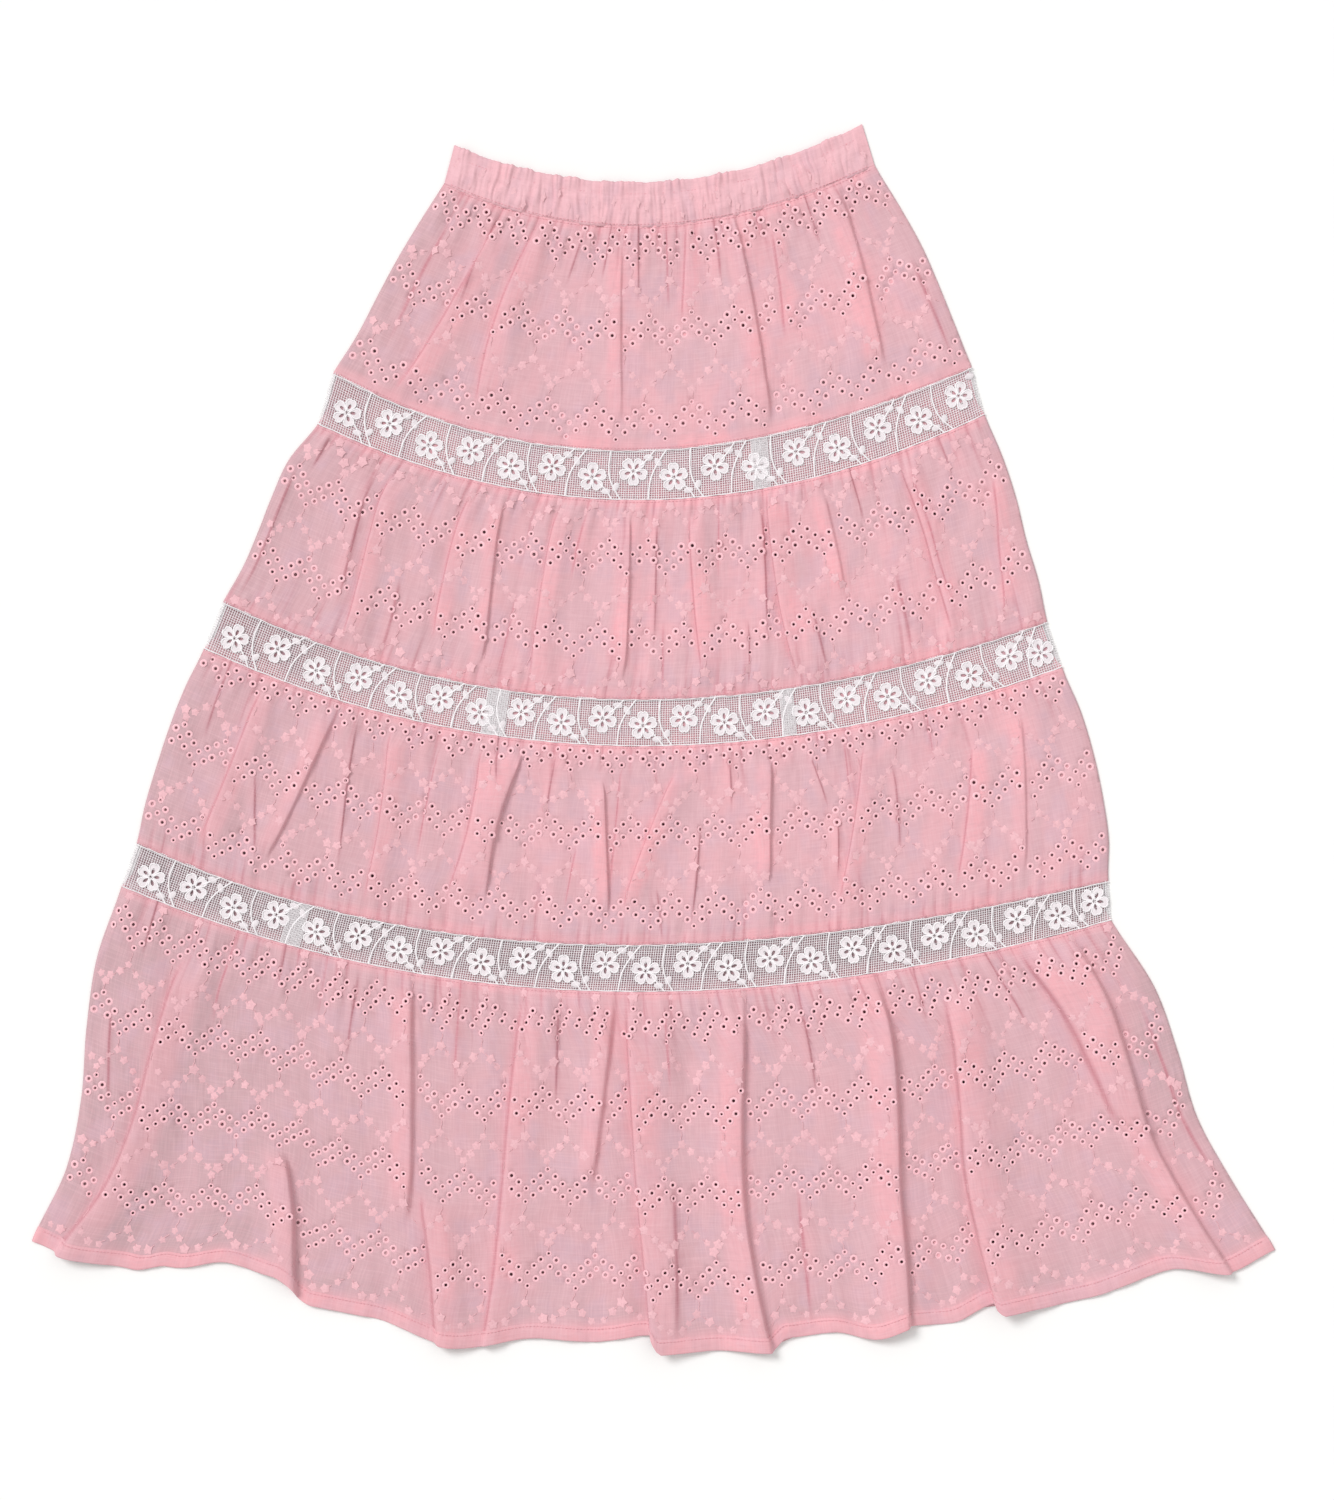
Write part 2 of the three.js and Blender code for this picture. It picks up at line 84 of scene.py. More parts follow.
# Folds and creases: places across the width at the upper and lower end and how far the middle bows,
# the ends down the tier, then height and the widths of the gentle and the steep side, in mm.
# steep_right is 1 where the ridge drops on its right, and -1 where it drops on its left.
Fold = namedtuple("Fold", "top foot bow start end height gentle steep steep_right")
FOLDS = {
    "tier1": (
        Fold(0.15, 0.09, 0.004, 0.05, 1, 5, 30, 12, -1),
        Fold(0.238, 0.221, -0.02, 0, 0.95, 5, 30, 12, -1),
        Fold(0.41, 0.444, 0, 0.05, 0.9, 2.5, 22, 9, 1),
        Fold(0.57, 0.552, 0, 0, 0.45, 3, 20, 9, -1),
        Fold(0.665, 0.683, 0.002, 0, 1, 5, 30, 12, 1),
        Fold(0.755, 0.735, 0, 0.1, 0.6, 2.5, 18, 10, -1),
        Fold(0.903, 0.872, -0.006, 0, 0.9, 4.5, 28, 12, 1),
    ),
    "tier2": (
        Fold(0.131, 0.144, 0, 0.03, 1, 5, 26, 10, -1),
        Fold(0.244, 0.246, -0.004, 0.04, 0.85, 4, 22, 10, -1),
        Fold(0.282, 0.305, 0, 0.04, 0.95, 4, 18, 9, 1),
        Fold(0.372, 0.373, -0.003, 0.03, 0.95, 5, 24, 10, -1),
        Fold(0.466, 0.479, 0.003, 0.05, 0.95, 4.5, 24, 9, 1),
        Fold(0.563, 0.588, -0.003, 0.05, 0.95, 4, 22, 10, -1),
        Fold(0.679, 0.706, -0.008, 0, 1, 7.5, 34, 11, -1),
        Fold(0.749, 0.762, 0, 0.08, 0.6, 3, 20, 10, 1),
        Fold(0.87, 0.893, 0.003, 0.03, 0.95, 5.5, 30, 10, -1),
        Fold(0.985, 0.955, 0, 0.25, 0.95, 3, 16, 9, -1),
    ),
    "tier3": (
        Fold(0.079, 0.061, 0.004, 0.04, 0.95, 4, 24, 11, -1),
        Fold(0.155, 0.12, 0.004, 0.04, 0.9, 4.5, 24, 11, 1),
        Fold(0.225, 0.234, 0.008, 0.05, 0.95, 5, 24, 10, -1),
        Fold(0.33, 0.316, 0.008, 0.03, 0.85, 4.5, 24, 10, -1),
        Fold(0.373, 0.352, -0.01, 0.03, 0.85, 6, 26, 10, 1),
        Fold(0.464, 0.481, 0, 0.15, 0.9, 4.5, 22, 9, 1),
        Fold(0.555, 0.5, -0.005, 0.12, 0.85, 5.5, 24, 10, -1),
        Fold(0.655, 0.647, -0.003, 0.08, 0.75, 5, 24, 10, 1),
        Fold(0.769, 0.724, 0, 0.08, 0.9, 6, 28, 10, -1),
        Fold(0.884, 0.845, 0, 0.2, 0.9, 3.5, 24, 10, -1),
        Fold(0.936, 0.909, -0.003, 0.1, 0.9, 3, 22, 10, 1),
    ),
    "tier4": (
        Fold(0.085, 0.026, 0.004, 0.08, 1, 9, 46, 21, -1),
        Fold(0.178, 0.206, 0, 0.62, 1, 8, 34, 19, 1),
        Fold(0.288, 0.287, 0.006, 0, 0.75, 5.5, 32, 17, 1),
        Fold(0.312, 0.332, 0, 0.6, 1, 8, 36, 21, -1),
        Fold(0.413, 0.368, -0.003, 0, 1, 6, 34, 17, -1),
        Fold(0.494, 0.452, 0, 0, 0.6, 4, 26, 16, 1),
        Fold(0.516, 0.504, -0.003, 0, 1, 10, 44, 17, -1),
        Fold(0.624, 0.59, -0.016, 0, 1, 8, 40, 18, 1),
        Fold(0.756, 0.7, 0.004, 0, 1, 9, 44, 18, 1),
        Fold(0.826, 0.782, -0.002, 0.05, 1, 11, 46, 19, -1),
        Fold(0.908, 0.936, 0, 0, 0.6, 5, 28, 17, -1),
        Fold(0.95, 0.958, -0.004, 0, 1, 9, 40, 20, 1),
    ),
}

# Small sharp creases between the folds: place at each end, ends down the tier, height, width, drop side
Crease = namedtuple("Crease", "top foot start end height width steep_right")
CREASES = {
    "tier1": (
        Crease(0.129, 0.135, 0.02, 0.5, 1.8, 7, 1), Crease(0.148, 0.13, 0.02, 0.5, 1.6, 6, -1),
        Crease(0.326, 0.31, 0.02, 0.3, 1.5, 6, 1), Crease(0.447, 0.46, 0, 0.35, 1.8, 5, 1),
        Crease(0.52, 0.525, 0, 0.4, 1.2, 6, -1), Crease(0.62, 0.622, 0, 0.3, 1.4, 6, 1),
        Crease(0.832, 0.828, 0, 0.25, 1.8, 5, 1), Crease(0.97, 0.976, 0.4, 0.95, 1.2, 8, 1),
        Crease(0.056, 0.05, 0.1, 0.8, 1.2, 8, -1), Crease(0.385, 0.38, 0, 0.25, 1.3, 5, 1),
    ),
    "tier2": (
        Crease(0.102, 0.116, 0.03, 0.85, 2.2, 8, 1), Crease(0.021, 0.03, 0.02, 0.2, 1.5, 6, 1),
        Crease(0.411, 0.402, 0.05, 0.45, 1.8, 6, -1), Crease(0.508, 0.517, 0.03, 0.8, 2, 6, 1),
        Crease(0.604, 0.601, 0.05, 0.45, 1.6, 5, -1), Crease(0.66, 0.66, 0.04, 0.8, 2.2, 7, 1),
        Crease(0.794, 0.8, 0, 0.28, 1.6, 5, 1), Crease(0.882, 0.906, 0.02, 0.95, 2.4, 6, -1),
        Crease(0.927, 0.929, 0, 0.2, 1.5, 5, 1), Crease(0.637, 0.636, 0.62, 1, 1.8, 5, 1),
        Crease(0.012, 0.01, 0.15, 1, 1.6, 6, 1), Crease(0.18, 0.186, 0.55, 1, 1.3, 7, 1),
        Crease(0.335, 0.33, 0.5, 1, 1.3, 6, -1), Crease(0.72, 0.735, 0.6, 1, 1.6, 6, 1),
        Crease(0.53, 0.535, 0.6, 1, 1.2, 6, -1), Crease(0.83, 0.835, 0.5, 1, 1.2, 8, 1),
    ),
    "tier3": (
        Crease(0.093, 0.116, 0.42, 0.9, 2, 6, 1), Crease(0.181, 0.2, 0.02, 0.85, 2.4, 6, 1),
        Crease(0.282, 0.279, 0.08, 0.7, 2, 6, -1), Crease(0.341, 0.347, 0, 0.25, 1.6, 5, 1),
        Crease(0.49, 0.484, 0.04, 0.8, 2, 6, -1), Crease(0.446, 0.438, 0.5, 0.85, 1.8, 5, -1),
        Crease(0.609, 0.61, 0.03, 0.35, 1.6, 5, 1), Crease(0.576, 0.567, 0.35, 0.95, 2.2, 6, 1),
        Crease(0.699, 0.716, 0.08, 0.4, 1.8, 5, 1), Crease(0.745, 0.742, 0.03, 0.35, 1.8, 5, -1),
        Crease(0.724, 0.72, 0.4, 0.75, 2, 5, 1), Crease(0.79, 0.785, 0.2, 0.7, 1.8, 6, 1),
        Crease(0.843, 0.837, 0, 0.25, 1.5, 5, -1), Crease(0.41, 0.405, 0.05, 0.4, 1.4, 5, 1),
        Crease(0.03, 0.035, 0, 0.4, 1.4, 6, 1), Crease(0.53, 0.54, 0.7, 1, 1.4, 5, 1),
    ),
    "tier4": (
        Crease(0.018, 0.022, 0.3, 0.6, 1.8, 7, 1), Crease(0.035, 0.037, 0, 0.15, 1.4, 5, 1),
        Crease(0.165, 0.166, 0, 0.14, 1.5, 5, 1), Crease(0.55, 0.543, 0.02, 0.3, 2, 6, -1),
        Crease(0.798, 0.79, 0, 0.16, 1.8, 5, 1), Crease(0.983, 0.995, 0.2, 0.85, 1.6, 8, -1),
        Crease(0.44, 0.43, 0.02, 0.35, 1.8, 6, 1), Crease(0.345, 0.34, 0, 0.3, 1.6, 6, -1),
        Crease(0.68, 0.672, 0, 0.34, 1.8, 6, 1), Crease(0.24, 0.236, 0.02, 0.3, 1.6, 6, 1),
        Crease(0.87, 0.878, 0, 0.25, 1.7, 6, 1), Crease(0.12, 0.115, 0, 0.3, 1.5, 6, -1),
        Crease(0.535, 0.52, 0.5, 1, 2, 8, 1), Crease(0.646, 0.63, 0.55, 1, 2, 9, -1),
    ),
}

# The tiers: seams, gathers with their height and the share of the tier that they run down, the share of
# that height again above the lower seam, the cloth's width and drop as laid, its eyelet rows' places, how
# far the folds' crests lean over, and how far the back's seam lies above the front's, behind the lace
Tier = namedtuple("Tier", "name top bottom gathers height reach foot width drop rows lean behind")
TIERS = (
    Tier("tier1", "waist_seam", "lace1_top", 22, 2.2, 0.3, 0.2, 450, 174, (17, 83, 152), 0.6, 0),
    Tier("tier2", "lace1_bottom", "lace2_top", 30, 2.0, 0.45, 0.8, 640, 159, (46, 113), 0.62, 44),
    Tier("tier3", "lace2_bottom", "lace3_top", 32, 2.0, 0.4, 0.8, 765, 165, (8, 73, 137), 0.62, 41),
    Tier("tier4", "lace3_bottom", "hem", 34, 2.6, 0.24, 0, 945, 284, (26, 94, 160, 228), 0.45, 40),
)
Lace = namedtuple("Lace", "name top bottom width depth joins")
LACES = (
    Lace("lace1", "lace1_top", "lace1_bottom", 535, 42, ((0.667, 14),)),
    Lace("lace2", "lace2_top", "lace2_bottom", 690, 40, ((0.336, 18), (0.683, 11))),
    Lace("lace3", "lace3_top", "lace3_bottom", 795, 38, ((0.17, 16),)),
)
# The panels' estimated cut widths, without their side seams, before they were gathered
Band = namedtuple("Band", "name top bottom width depth header")
WAISTBAND = Band("waistband", "waist_top", "waist_seam", 345, 35, 0.27)

# Heights of the layers above the surface, the cloth's thickness and the hem's depth
FRONT_REST = 2.2
BACK_REST = 0.62
SIDE_MEETING = 1.3
BEHIND_LACE = 1.22
CLOTH = 0.35
HEM_DEPTH = 12

# Eyelets: a doubled zigzag of stitched holes, with florets between the zigzags
REPEAT = 34.3
HOLES_A_LINE = 6
ZIGZAG_DROP = 16
LINE_SPACING = 10.6
ROW_SPACING = 67
HOLE_RADIUS = 1.62
RING_RADIUS = 3.05
FLORET_CHAIN = ((0.5, 26.5), (0.31, 33), (0.12, 39.5), (0.69, 33), (0.88, 39.5), (0, 45.5))
# How far the back's pattern is shifted against the front's, in repeats across and in rows down
BACK_SHIFT = {"front": 0, "back": 0.45}


# Small curves and sums, on whole arrays

def mix(a, b, t):
    return a + (b - a) * t


def ease(t):
    t = np.clip(t, 0, 1)
    return t * t * (3 - 2 * t)


def ridge(distance, reach):
    return np.where(np.abs(distance) < reach, np.cos(np.pi * distance / reach / 2) ** 2, 0.0)


def curve_through(values, t):
    """A smooth curve through values at even steps from 0 to 1."""
    values = np.asarray(values, float)
    place = np.clip(t, 0, 1) * (len(values) - 1)
    step = np.minimum(place.astype(int), len(values) - 2)
    f = place - step
    a, b, c, d = (values[np.clip(step + k, 0, len(values) - 1)] for k in (-1, 0, 1, 2))
    return b + 0.5 * f * (c - a + f * (2 * a - 5 * b + 4 * c - d + f * (3 * (b - c) + d - a)))


def hem_rise(u):
    places, rises = (np.array(column, float) for column in zip(*HEM_WAVES))
    step = np.clip(np.searchsorted(places, u) - 1, 0, len(places) - 2)
    along = (u - places[step]) / (places[step + 1] - places[step])
    return mix(rises[step], rises[step + 1], ease(along))


def seam_point(name, u):
    seam = SEAMS[name]
    wave = hem_rise(u) if name == "hem" else 0
    x = mix(seam.left_x, seam.right_x, u)
    y = mix(seam.left_y, seam.right_y, u) - 4 * u * (1 - u) * (seam.sag + seam.skew * (1 - 2 * u)) + wave
    return x, y


def piece_plan(piece, u, v):
    """Where a piece's point lies seen from above, u across and v down the piece."""
    top_x, top_y = seam_point(piece.top, u)
    foot_x, foot_y = seam_point(piece.bottom, u)
    x = mix(top_x, foot_x, v) - CENTRE_X
    if piece.name in SIDES:
        left, right = SIDES[piece.name]
        x = x - curve_through(left, v) * (1 - u) ** 3 + curve_through(right, v) * u ** 3
    return x, mix(top_y, foot_y, v) - CENTRE_Y


def width_at(piece, v):
    first, last = (piece_plan(piece, np.full_like(v, side), v)[0] for side in (0.0, 1.0))
    return last - first


def rounded(to_edge, reach):
    """The share of a side edge's own height, 1 on the edge and 0 from its reach on."""
    return 1 - np.sqrt(np.clip(1 - (1 - np.clip(to_edge / reach, 0, 1)) ** 2, 0, 1))


def gather_list(count, turn):
    """Places, shares of height and shares of length of gathers, unevenly spaced and sized."""
    k = np.arange(count)
    at = (k + 0.5 + 0.15 * np.sin(2.4 * k + turn)) / count
    share = 0.68 + 0.32 * np.sin(1.7 * k + 2 * turn)
    run = 1 + 0.5 * np.sin(2.9 * k + 3 * turn)
    return zip(at, share, run)


def gather_lift(u, v, count, turn, reach, foot, wide, power):
    lift = np.zeros_like(u)
    for at, share, run in gather_list(count, turn):
        crest = ridge((u - at) * count, wide) ** power
        upper = mix(0.45, 1, ease(v / 0.05)) * (1 - ease((v - 0.05) / (reach * run)))
        lower = foot * mix(0.45, 1, ease((1 - v) / 0.05)) * (1 - ease((0.95 - v) / (reach * run)))
        lift += crest * share * np.maximum(upper, lower)
    return lift


# The shares of the tables' sizes that the cloth keeps: the width of a fold's steep side, the height of
# folds between two seams and of those that run to the hem, and the height of creases
SHARPEN = 0.46
FOLD_SHARE = (0.8, 1)
CREASE_SHARE = 0.7


def fold_middle(fold, v):
    along = np.clip((v - fold.start) / (fold.end - fold.start), 0, 1)
    return mix(fold.top, fold.foot, along) + 4 * fold.bow * along * (1 - along)


def fold_shape(tier, u, v, width):
    """The folds' height, how far their crests lean over, where cloth lies doubled, and the crease lines that
    are
    painted deeper pink and painted shade: by a fold that drops on its right, by one that drops on its left,
    and by a small crease."""
    lift = np.zeros_like(u)
    lean = np.zeros_like(u)
    doubled = np.zeros_like(u)
    creased = np.zeros((3,) + np.shape(u))
    for fold in FOLDS[tier.name]:
        distance = (u - fold_middle(fold, v)) * width * fold.steep_right
        shape = np.where(distance > 0, ridge(distance, fold.steep * SHARPEN), ridge(distance, fold.gentle))
        span = fold.end - fold.start
        start = mix(0.25 if fold.start == 0 else 0, 1, ease((v - fold.start) / span / 0.14))
        end = 1 if fold.end == 1 and tier.bottom == "hem" else ease((fold.end - v) / span / 0.2)
        height = fold.height * FOLD_SHARE[tier.bottom == "hem"] * shape * start * end
        lift += height
        lean += height * fold.steep_right * tier.lean
        lit_side = 1 - ease((-distance / fold.gentle - 0.3) / 0.25)
        under = np.where(distance > 0, ridge(distance, fold.steep), lit_side)
        doubled = np.maximum(doubled, under * start * end)
        line = ridge(distance - 0.26 * fold.steep, 0.26 * fold.steep)
        side = 0 if fold.steep_right > 0 else 1
        creased[side] = np.maximum(creased[side], line * start * end)
    for crease in CREASES[tier.name]:
        along = (v - crease.start) / (crease.end - crease.start)
        distance = (u - mix(crease.top, crease.foot, np.clip(along, 0, 1))) * width * crease.steep_right
        steep, gentle = ridge(distance, crease.width * 0.42), ridge(distance, crease.width * 1.4)
        shape = np.where(distance > 0, steep, gentle)
        start = 1 if crease.start == 0 else ease(along / 0.25)
        begun = np.where(along < 0, crease.start == 0, start)
        height = CREASE_SHARE * crease.height * shape * begun * ease((1 - along) / 0.35)
        lift += height
        lean += height * crease.steep_right * tier.lean
        doubled = np.maximum(doubled, 0.35 * height)
        line = ridge(distance - 0.2 * crease.width, 0.34 * crease.width)
        creased[2] = np.maximum(creased[2], line * np.where(along < 0, 0, start) * ease((1 - along) / 0.35))
    return lift, lean, np.minimum(doubled, 1), creased


def slow_ripple(x, y, turn):
    """The slight unevenness of thin cotton: long soft ripples down the cloth, and fine crumple."""
    random = np.random.default_rng(11 + turn)
    ripple = np.zeros_like(x)
    for length, height in ((90, 0.3), (55, 0.26), (34, 0.2), (21, 0.14), (13, 0.085), (9, 0.05)):
        for _ in range(3):
            angle = random.normal(0, 0.35)
            phase = random.uniform(0, math.tau)
            ripple += height * np.sin(math.tau * (x * math.cos(angle) + y * math.sin(angle)) / length + phase)
    return ripple


def gather_shade_lines(tier, u, v, width):
    """The thin lines between gathers at the seams, from 0 to 1, which are painted as shade in the valleys."""
    lines = np.zeros_like(u)
    to_seam = v if tier.bottom == "hem" else np.minimum(v, np.where(tier.foot > 0.5, 1 - v, 1))
    for count, turn, reach, wide in seam_gathers(tier):
        for at, share, run in gather_list(count, turn):
            line = ridge((u - at + wide / count) * width, 1.7) * (share - 0.3) / 0.7
            lines = np.maximum(lines, line * (1 - ease((to_seam - 0.02) / (0.8 * reach * run))))
    return lines


def seam_gathers(tier):
    """The coarse and the fine gathers at a tier's seams: how many, their turn, reach and width."""
    turn = TIERS.index(tier)
    return (tier.gathers, 1.3 * turn, tier.reach, 0.55), (int(tier.gathers * 2.3), 1.7 + turn, 0.16, 0.5)


def tier_point(tier, u, v, turn, face):
    """A point of a tier's cloth in mm, on its front or on its back."""
    x, y = piece_plan(tier, u, v)
    width = width_at(tier, v)
    to_edge = np.minimum(u, 1 - u) * width
    round_off = rounded(to_edge, 5)
    wide_set, fine_set = seam_gathers(tier)
    coarse = gather_lift(u, v, *wide_set[:3], tier.foot, wide_set[3], 0.75)
    fine = gather_lift(u, v, *fine_set[:3], min(1, tier.foot * 1.2), fine_set[3], 0.6)
    ripple = slow_ripple(x, y, turn)
    if face == "back":
        lift = 0.11 * (coarse * tier.height + fine) + 0.06 * ripple
        z = BACK_REST - np.clip(lift * ease(to_edge / 9), -0.2, 0.5)
        above = [lace for lace in LACES if lace.bottom == tier.top]
        if above:
            inset = mix(1, 0.988, ease(-v * tier.drop / 4))
            x_above, y_above = piece_plan(above[0], mix(0.5, u, inset), 1 + v * tier.drop / above[0].depth)
            x, y = np.where(v < 0, x_above, x), np.where(v < 0, y_above, y)
        z = mix(z, BEHIND_LACE, ease(-v * tier.drop / 6))
        return x, y, mix(z, SIDE_MEETING, round_off)
    lift, lean, *_ = fold_shape(tier, u, v, width)
    held = ease(to_edge / 9)
    seam_dip = ridge(v * tier.drop, 1.6) + (ridge((1 - v) * tier.drop, 1.6) if tier.bottom != "hem" else 0)
    to_seam = v if tier.bottom == "hem" else np.minimum(v, 1 - v)
    calm = mix(0.35, 1, ease(to_seam / 0.08))
    raised = lift + coarse * tier.height + fine * 1.6 + (ripple + 0.55) * calm
    z = FRONT_REST + held * raised - 0.5 * seam_dip
    return x + lean * held, y, mix(z, SIDE_MEETING, round_off)


class LaidCloth:
    """A tier's cloth as it lies: finds the place of a point of the flat cloth, s across and t down in mm."""

    ACROSS, DOWN = 2400, 44

    def __init__(self, tier, turn, face):
        self.tier, self.turn, self.face = tier, turn, face
        self.u = np.linspace(0, 1, self.ACROSS)
        self.v = np.linspace(0, 1, self.DOWN)
        u, v = np.meshgrid(self.u, self.v)
        self.x, self.y, self.z = tier_point(tier, u, v, turn, face)
        step = np.sqrt(np.diff(self.x) ** 2 + np.diff(self.y) ** 2 + np.diff(self.z) ** 2)
        self.run = np.concatenate([np.zeros((self.DOWN, 1)), np.cumsum(step, axis=1)], axis=1)
        self.share = self.run / self.run[:, -1:]

    def place(self, s, t):
        """u and v of the flat cloth's point."""
        s, t = np.asarray(s, float), np.asarray(t, float)
        v = t / self.tier.drop
        row = np.clip(v, 0, 1) * (self.DOWN - 1)
        low = np.minimum(row.astype(int), self.DOWN - 2)
        share = s / self.tier.width
        u = np.empty_like(s)
        for k in np.unique(low):
            here = low == k
            above = np.interp(share[here], self.share[k], self.u)
            below = np.interp(share[here], self.share[k + 1], self.u)
            u[here] = mix(above, below, row[here] - k)
        return u, v

    def points(self, s, t):
        u, v = self.place(s, t)
        return np.stack(tier_point(self.tier, u, v, self.turn, self.face), axis=1)

    def frames(self, s, t):
        """Points, unit normals and unit directions across and down, and the stretch both ways."""
        step = 0.35
        here = self.points(s, t)
        across = (self.points(s + step, t) - self.points(s - step, t)) / (2 * step)
        down = (self.points(s, t + step) - self.points(s, t - step)) / (2 * step)
        wide = np.linalg.norm(across, axis=1)
        tall = np.linalg.norm(down, axis=1)
        normal = np.cross(down, across)
        normal /= np.linalg.norm(normal, axis=1)[:, None]
        return here, normal, across / wide[:, None], wide, tall

    def spacing(self, k):
        """How far apart points may lie along a row, from its curvature, and the row's length share."""
        rise = np.gradient(self.z[k], self.run[k] + 1e-6 * np.arange(self.ACROSS))
        bend = np.abs(np.gradient(np.arctan(rise), self.run[k] + 1e-6 * np.arange(self.ACROSS)))
        bend = np.convolve(bend, np.ones(5) / 5, mode="same")
        spacing = np.clip(np.sqrt(8 * 0.055 / (bend + 1e-6)), 1.1, 7)
        return np.minimum(spacing, np.convolve(spacing, np.ones(9) / 9, mode="same"))


# Where the eyelets and florets are, on the flat cloth

def eyelet_places(tier, shift):
    """s, t and size of each eyelet. The back is another length of the cloth, so its rows are shifted."""
    random = np.random.default_rng(5)
    found = []
    repeats = int(tier.width / REPEAT) + 2
    for row in tier.rows:
        for line in (-0.5, 0.5):
            for k in range(-1, repeats):
                for hole in range(HOLES_A_LINE):
                    s = (k + 0.32 + shift + hole / HOLES_A_LINE) * REPEAT
                    zigzag = ZIGZAG_DROP * (1 - abs(1 - 2 * hole / HOLES_A_LINE)) - ZIGZAG_DROP / 2
                    t = row + line * LINE_SPACING + zigzag + shift * ROW_SPACING
                    size = (0.86, 1.08, 1.0, 0.84, 1.0, 1.08)[hole]
                    found.append((s, t, size))
    found = np.array(found)
    found[:, :2] += random.normal(0, 0.16, (len(found), 2))
    found[:, 2] *= random.uniform(0.92, 1.08, len(found))
    lowest = tier.drop - (HEM_DEPTH + 3 if tier.bottom == "hem" else 3.2)
    keep = (found[:, 0] > 4) & (found[:, 0] < tier.width - 4) & (found[:, 1] > 3.2) & (found[:, 1] < lowest)
    return found[keep]


def floret_places(tier, shift):
    """s, t and turn of each floret, and the two ends of each little stem."""
    random = np.random.default_rng(8)
    florets, stems = [], []
    repeats = int(tier.width / REPEAT) + 2
    rows = (tier.rows[0] - ROW_SPACING,) + tier.rows
    for row in rows:
        for k in range(-1, repeats):
            start = (k + 0.32 + shift) * REPEAT
            middle = start + REPEAT / 2
            down = row + shift * ROW_SPACING
            for share, below in FLORET_CHAIN:
                florets.append((start + share * REPEAT, down + below, random.uniform(0, math.tau)))
            stems.append(((middle, down + 17), (middle + random.normal(0, 0.4), down + 24)))
            stems.append(((start, down + 47), (start + random.normal(0, 0.4), down + 53)))
            for share, below, slant in ((0.41, 29.5, 1), (0.21, 36.5, 1), (0.59, 29.5, -1), (0.79, 36.5, -1)):
                here = start + share * REPEAT
                stems.append(((here, down + below), (here - slant * 2.4, down + below + 2.2)))
    florets = np.array(florets)
    florets[:, :2] += random.normal(0, 0.5, (len(florets), 2))
    lowest = tier.drop - (HEM_DEPTH + 3 if tier.bottom == "hem" else 4)
    s, t, right = florets[:, 0], florets[:, 1], tier.width - 5
    inside = (s > 5) & (s < right) & (t > 4) & (t < lowest)
    kept = [stem for stem in stems if 4 < stem[0][1] and stem[1][1] < lowest and 5 < stem[0][0] < right]
    return florets[inside], kept


# Meshes and objects

def new_object(name, points, faces, material=None, edges=()):
    mesh = bpy.data.meshes.new(name)
    mesh.from_pydata(points.tolist() if hasattr(points, "tolist") else points, edges, faces)
    mesh.validate(clean_customdata=False)
    if material:
        mesh.materials.append(material)
    thing = bpy.data.objects.new(name, mesh)
    bpy.context.scene.collection.objects.link(thing)
    return thing


def smooth(thing):
    thing.data.polygons.foreach_set("use_smooth", [True] * len(thing.data.polygons))


def set_uv(thing, flat):
    """Gives each corner its point's place on the flat cloth, in metres."""
    layer = thing.data.uv_layers.new(name="flat")
    corners = np.empty(len(thing.data.loops), int)
    thing.data.loops.foreach_get("vertex_index", corners)
    layer.data.foreach_set("uv", (flat[corners] * MM).astype(np.float32).ravel())


def set_share(thing, name, values):
    attribute = thing.data.attributes.new(name, "FLOAT", "POINT")
    attribute.data.foreach_set("value", np.asarray(values, np.float32))


def grid_faces(rows, columns):
    k = np.arange(rows - 1)[:, None] * columns + np.arange(columns - 1)[None, :]
    k = k.ravel()
    return np.stack([k, k + columns, k + columns + 1, k + 1], axis=1).tolist()


def thicken(thing, thickness):
    shell = thing.modifiers.new("cloth thickness", "SOLIDIFY")
    shell.thickness = thickness * MM
    shell.offset = 0


# Geometry Nodes: one tree sets shapes on points of the cloth, the other makes threads along lines

def node_tree(name, sockets):
    tree = bpy.data.node_groups.new(name, "GeometryNodeTree")
    tree.interface.new_socket("Geometry", in_out="INPUT", socket_type="NodeSocketGeometry")
    for socket, kind in sockets:
        tree.interface.new_socket(socket, in_out="INPUT", socket_type=kind)
    tree.interface.new_socket("Geometry", in_out="OUTPUT", socket_type="NodeSocketGeometry")
    return tree


def wire(tree, kind, links=None, **settings):
    """Adds a node, sets it, and fills its sockets with values or other nodes' sockets."""
    node = tree.nodes.new(kind)
    for name, value in settings.items():
        setattr(node, name, value)
    for socket, value in (links or {}).items():
        if isinstance(value, bpy.types.NodeSocket):
            tree.links.new(value, node.inputs[socket])
        else:
            node.inputs[socket].default_value = value
    return node


def ended(tree, given, shapes):
    """Makes a tree's shapes real, gives them their material and hands them out."""
    real = wire(tree, "GeometryNodeRealizeInstances", {"Geometry": shapes.outputs[0]})
    finished = {"Geometry": real.outputs[0], "Material": given.outputs["Finish"]}
    done = wire(tree, "GeometryNodeSetMaterial", finished)
    wire(tree, "NodeGroupOutput", {"Geometry": done.outputs[0]})
    return tree


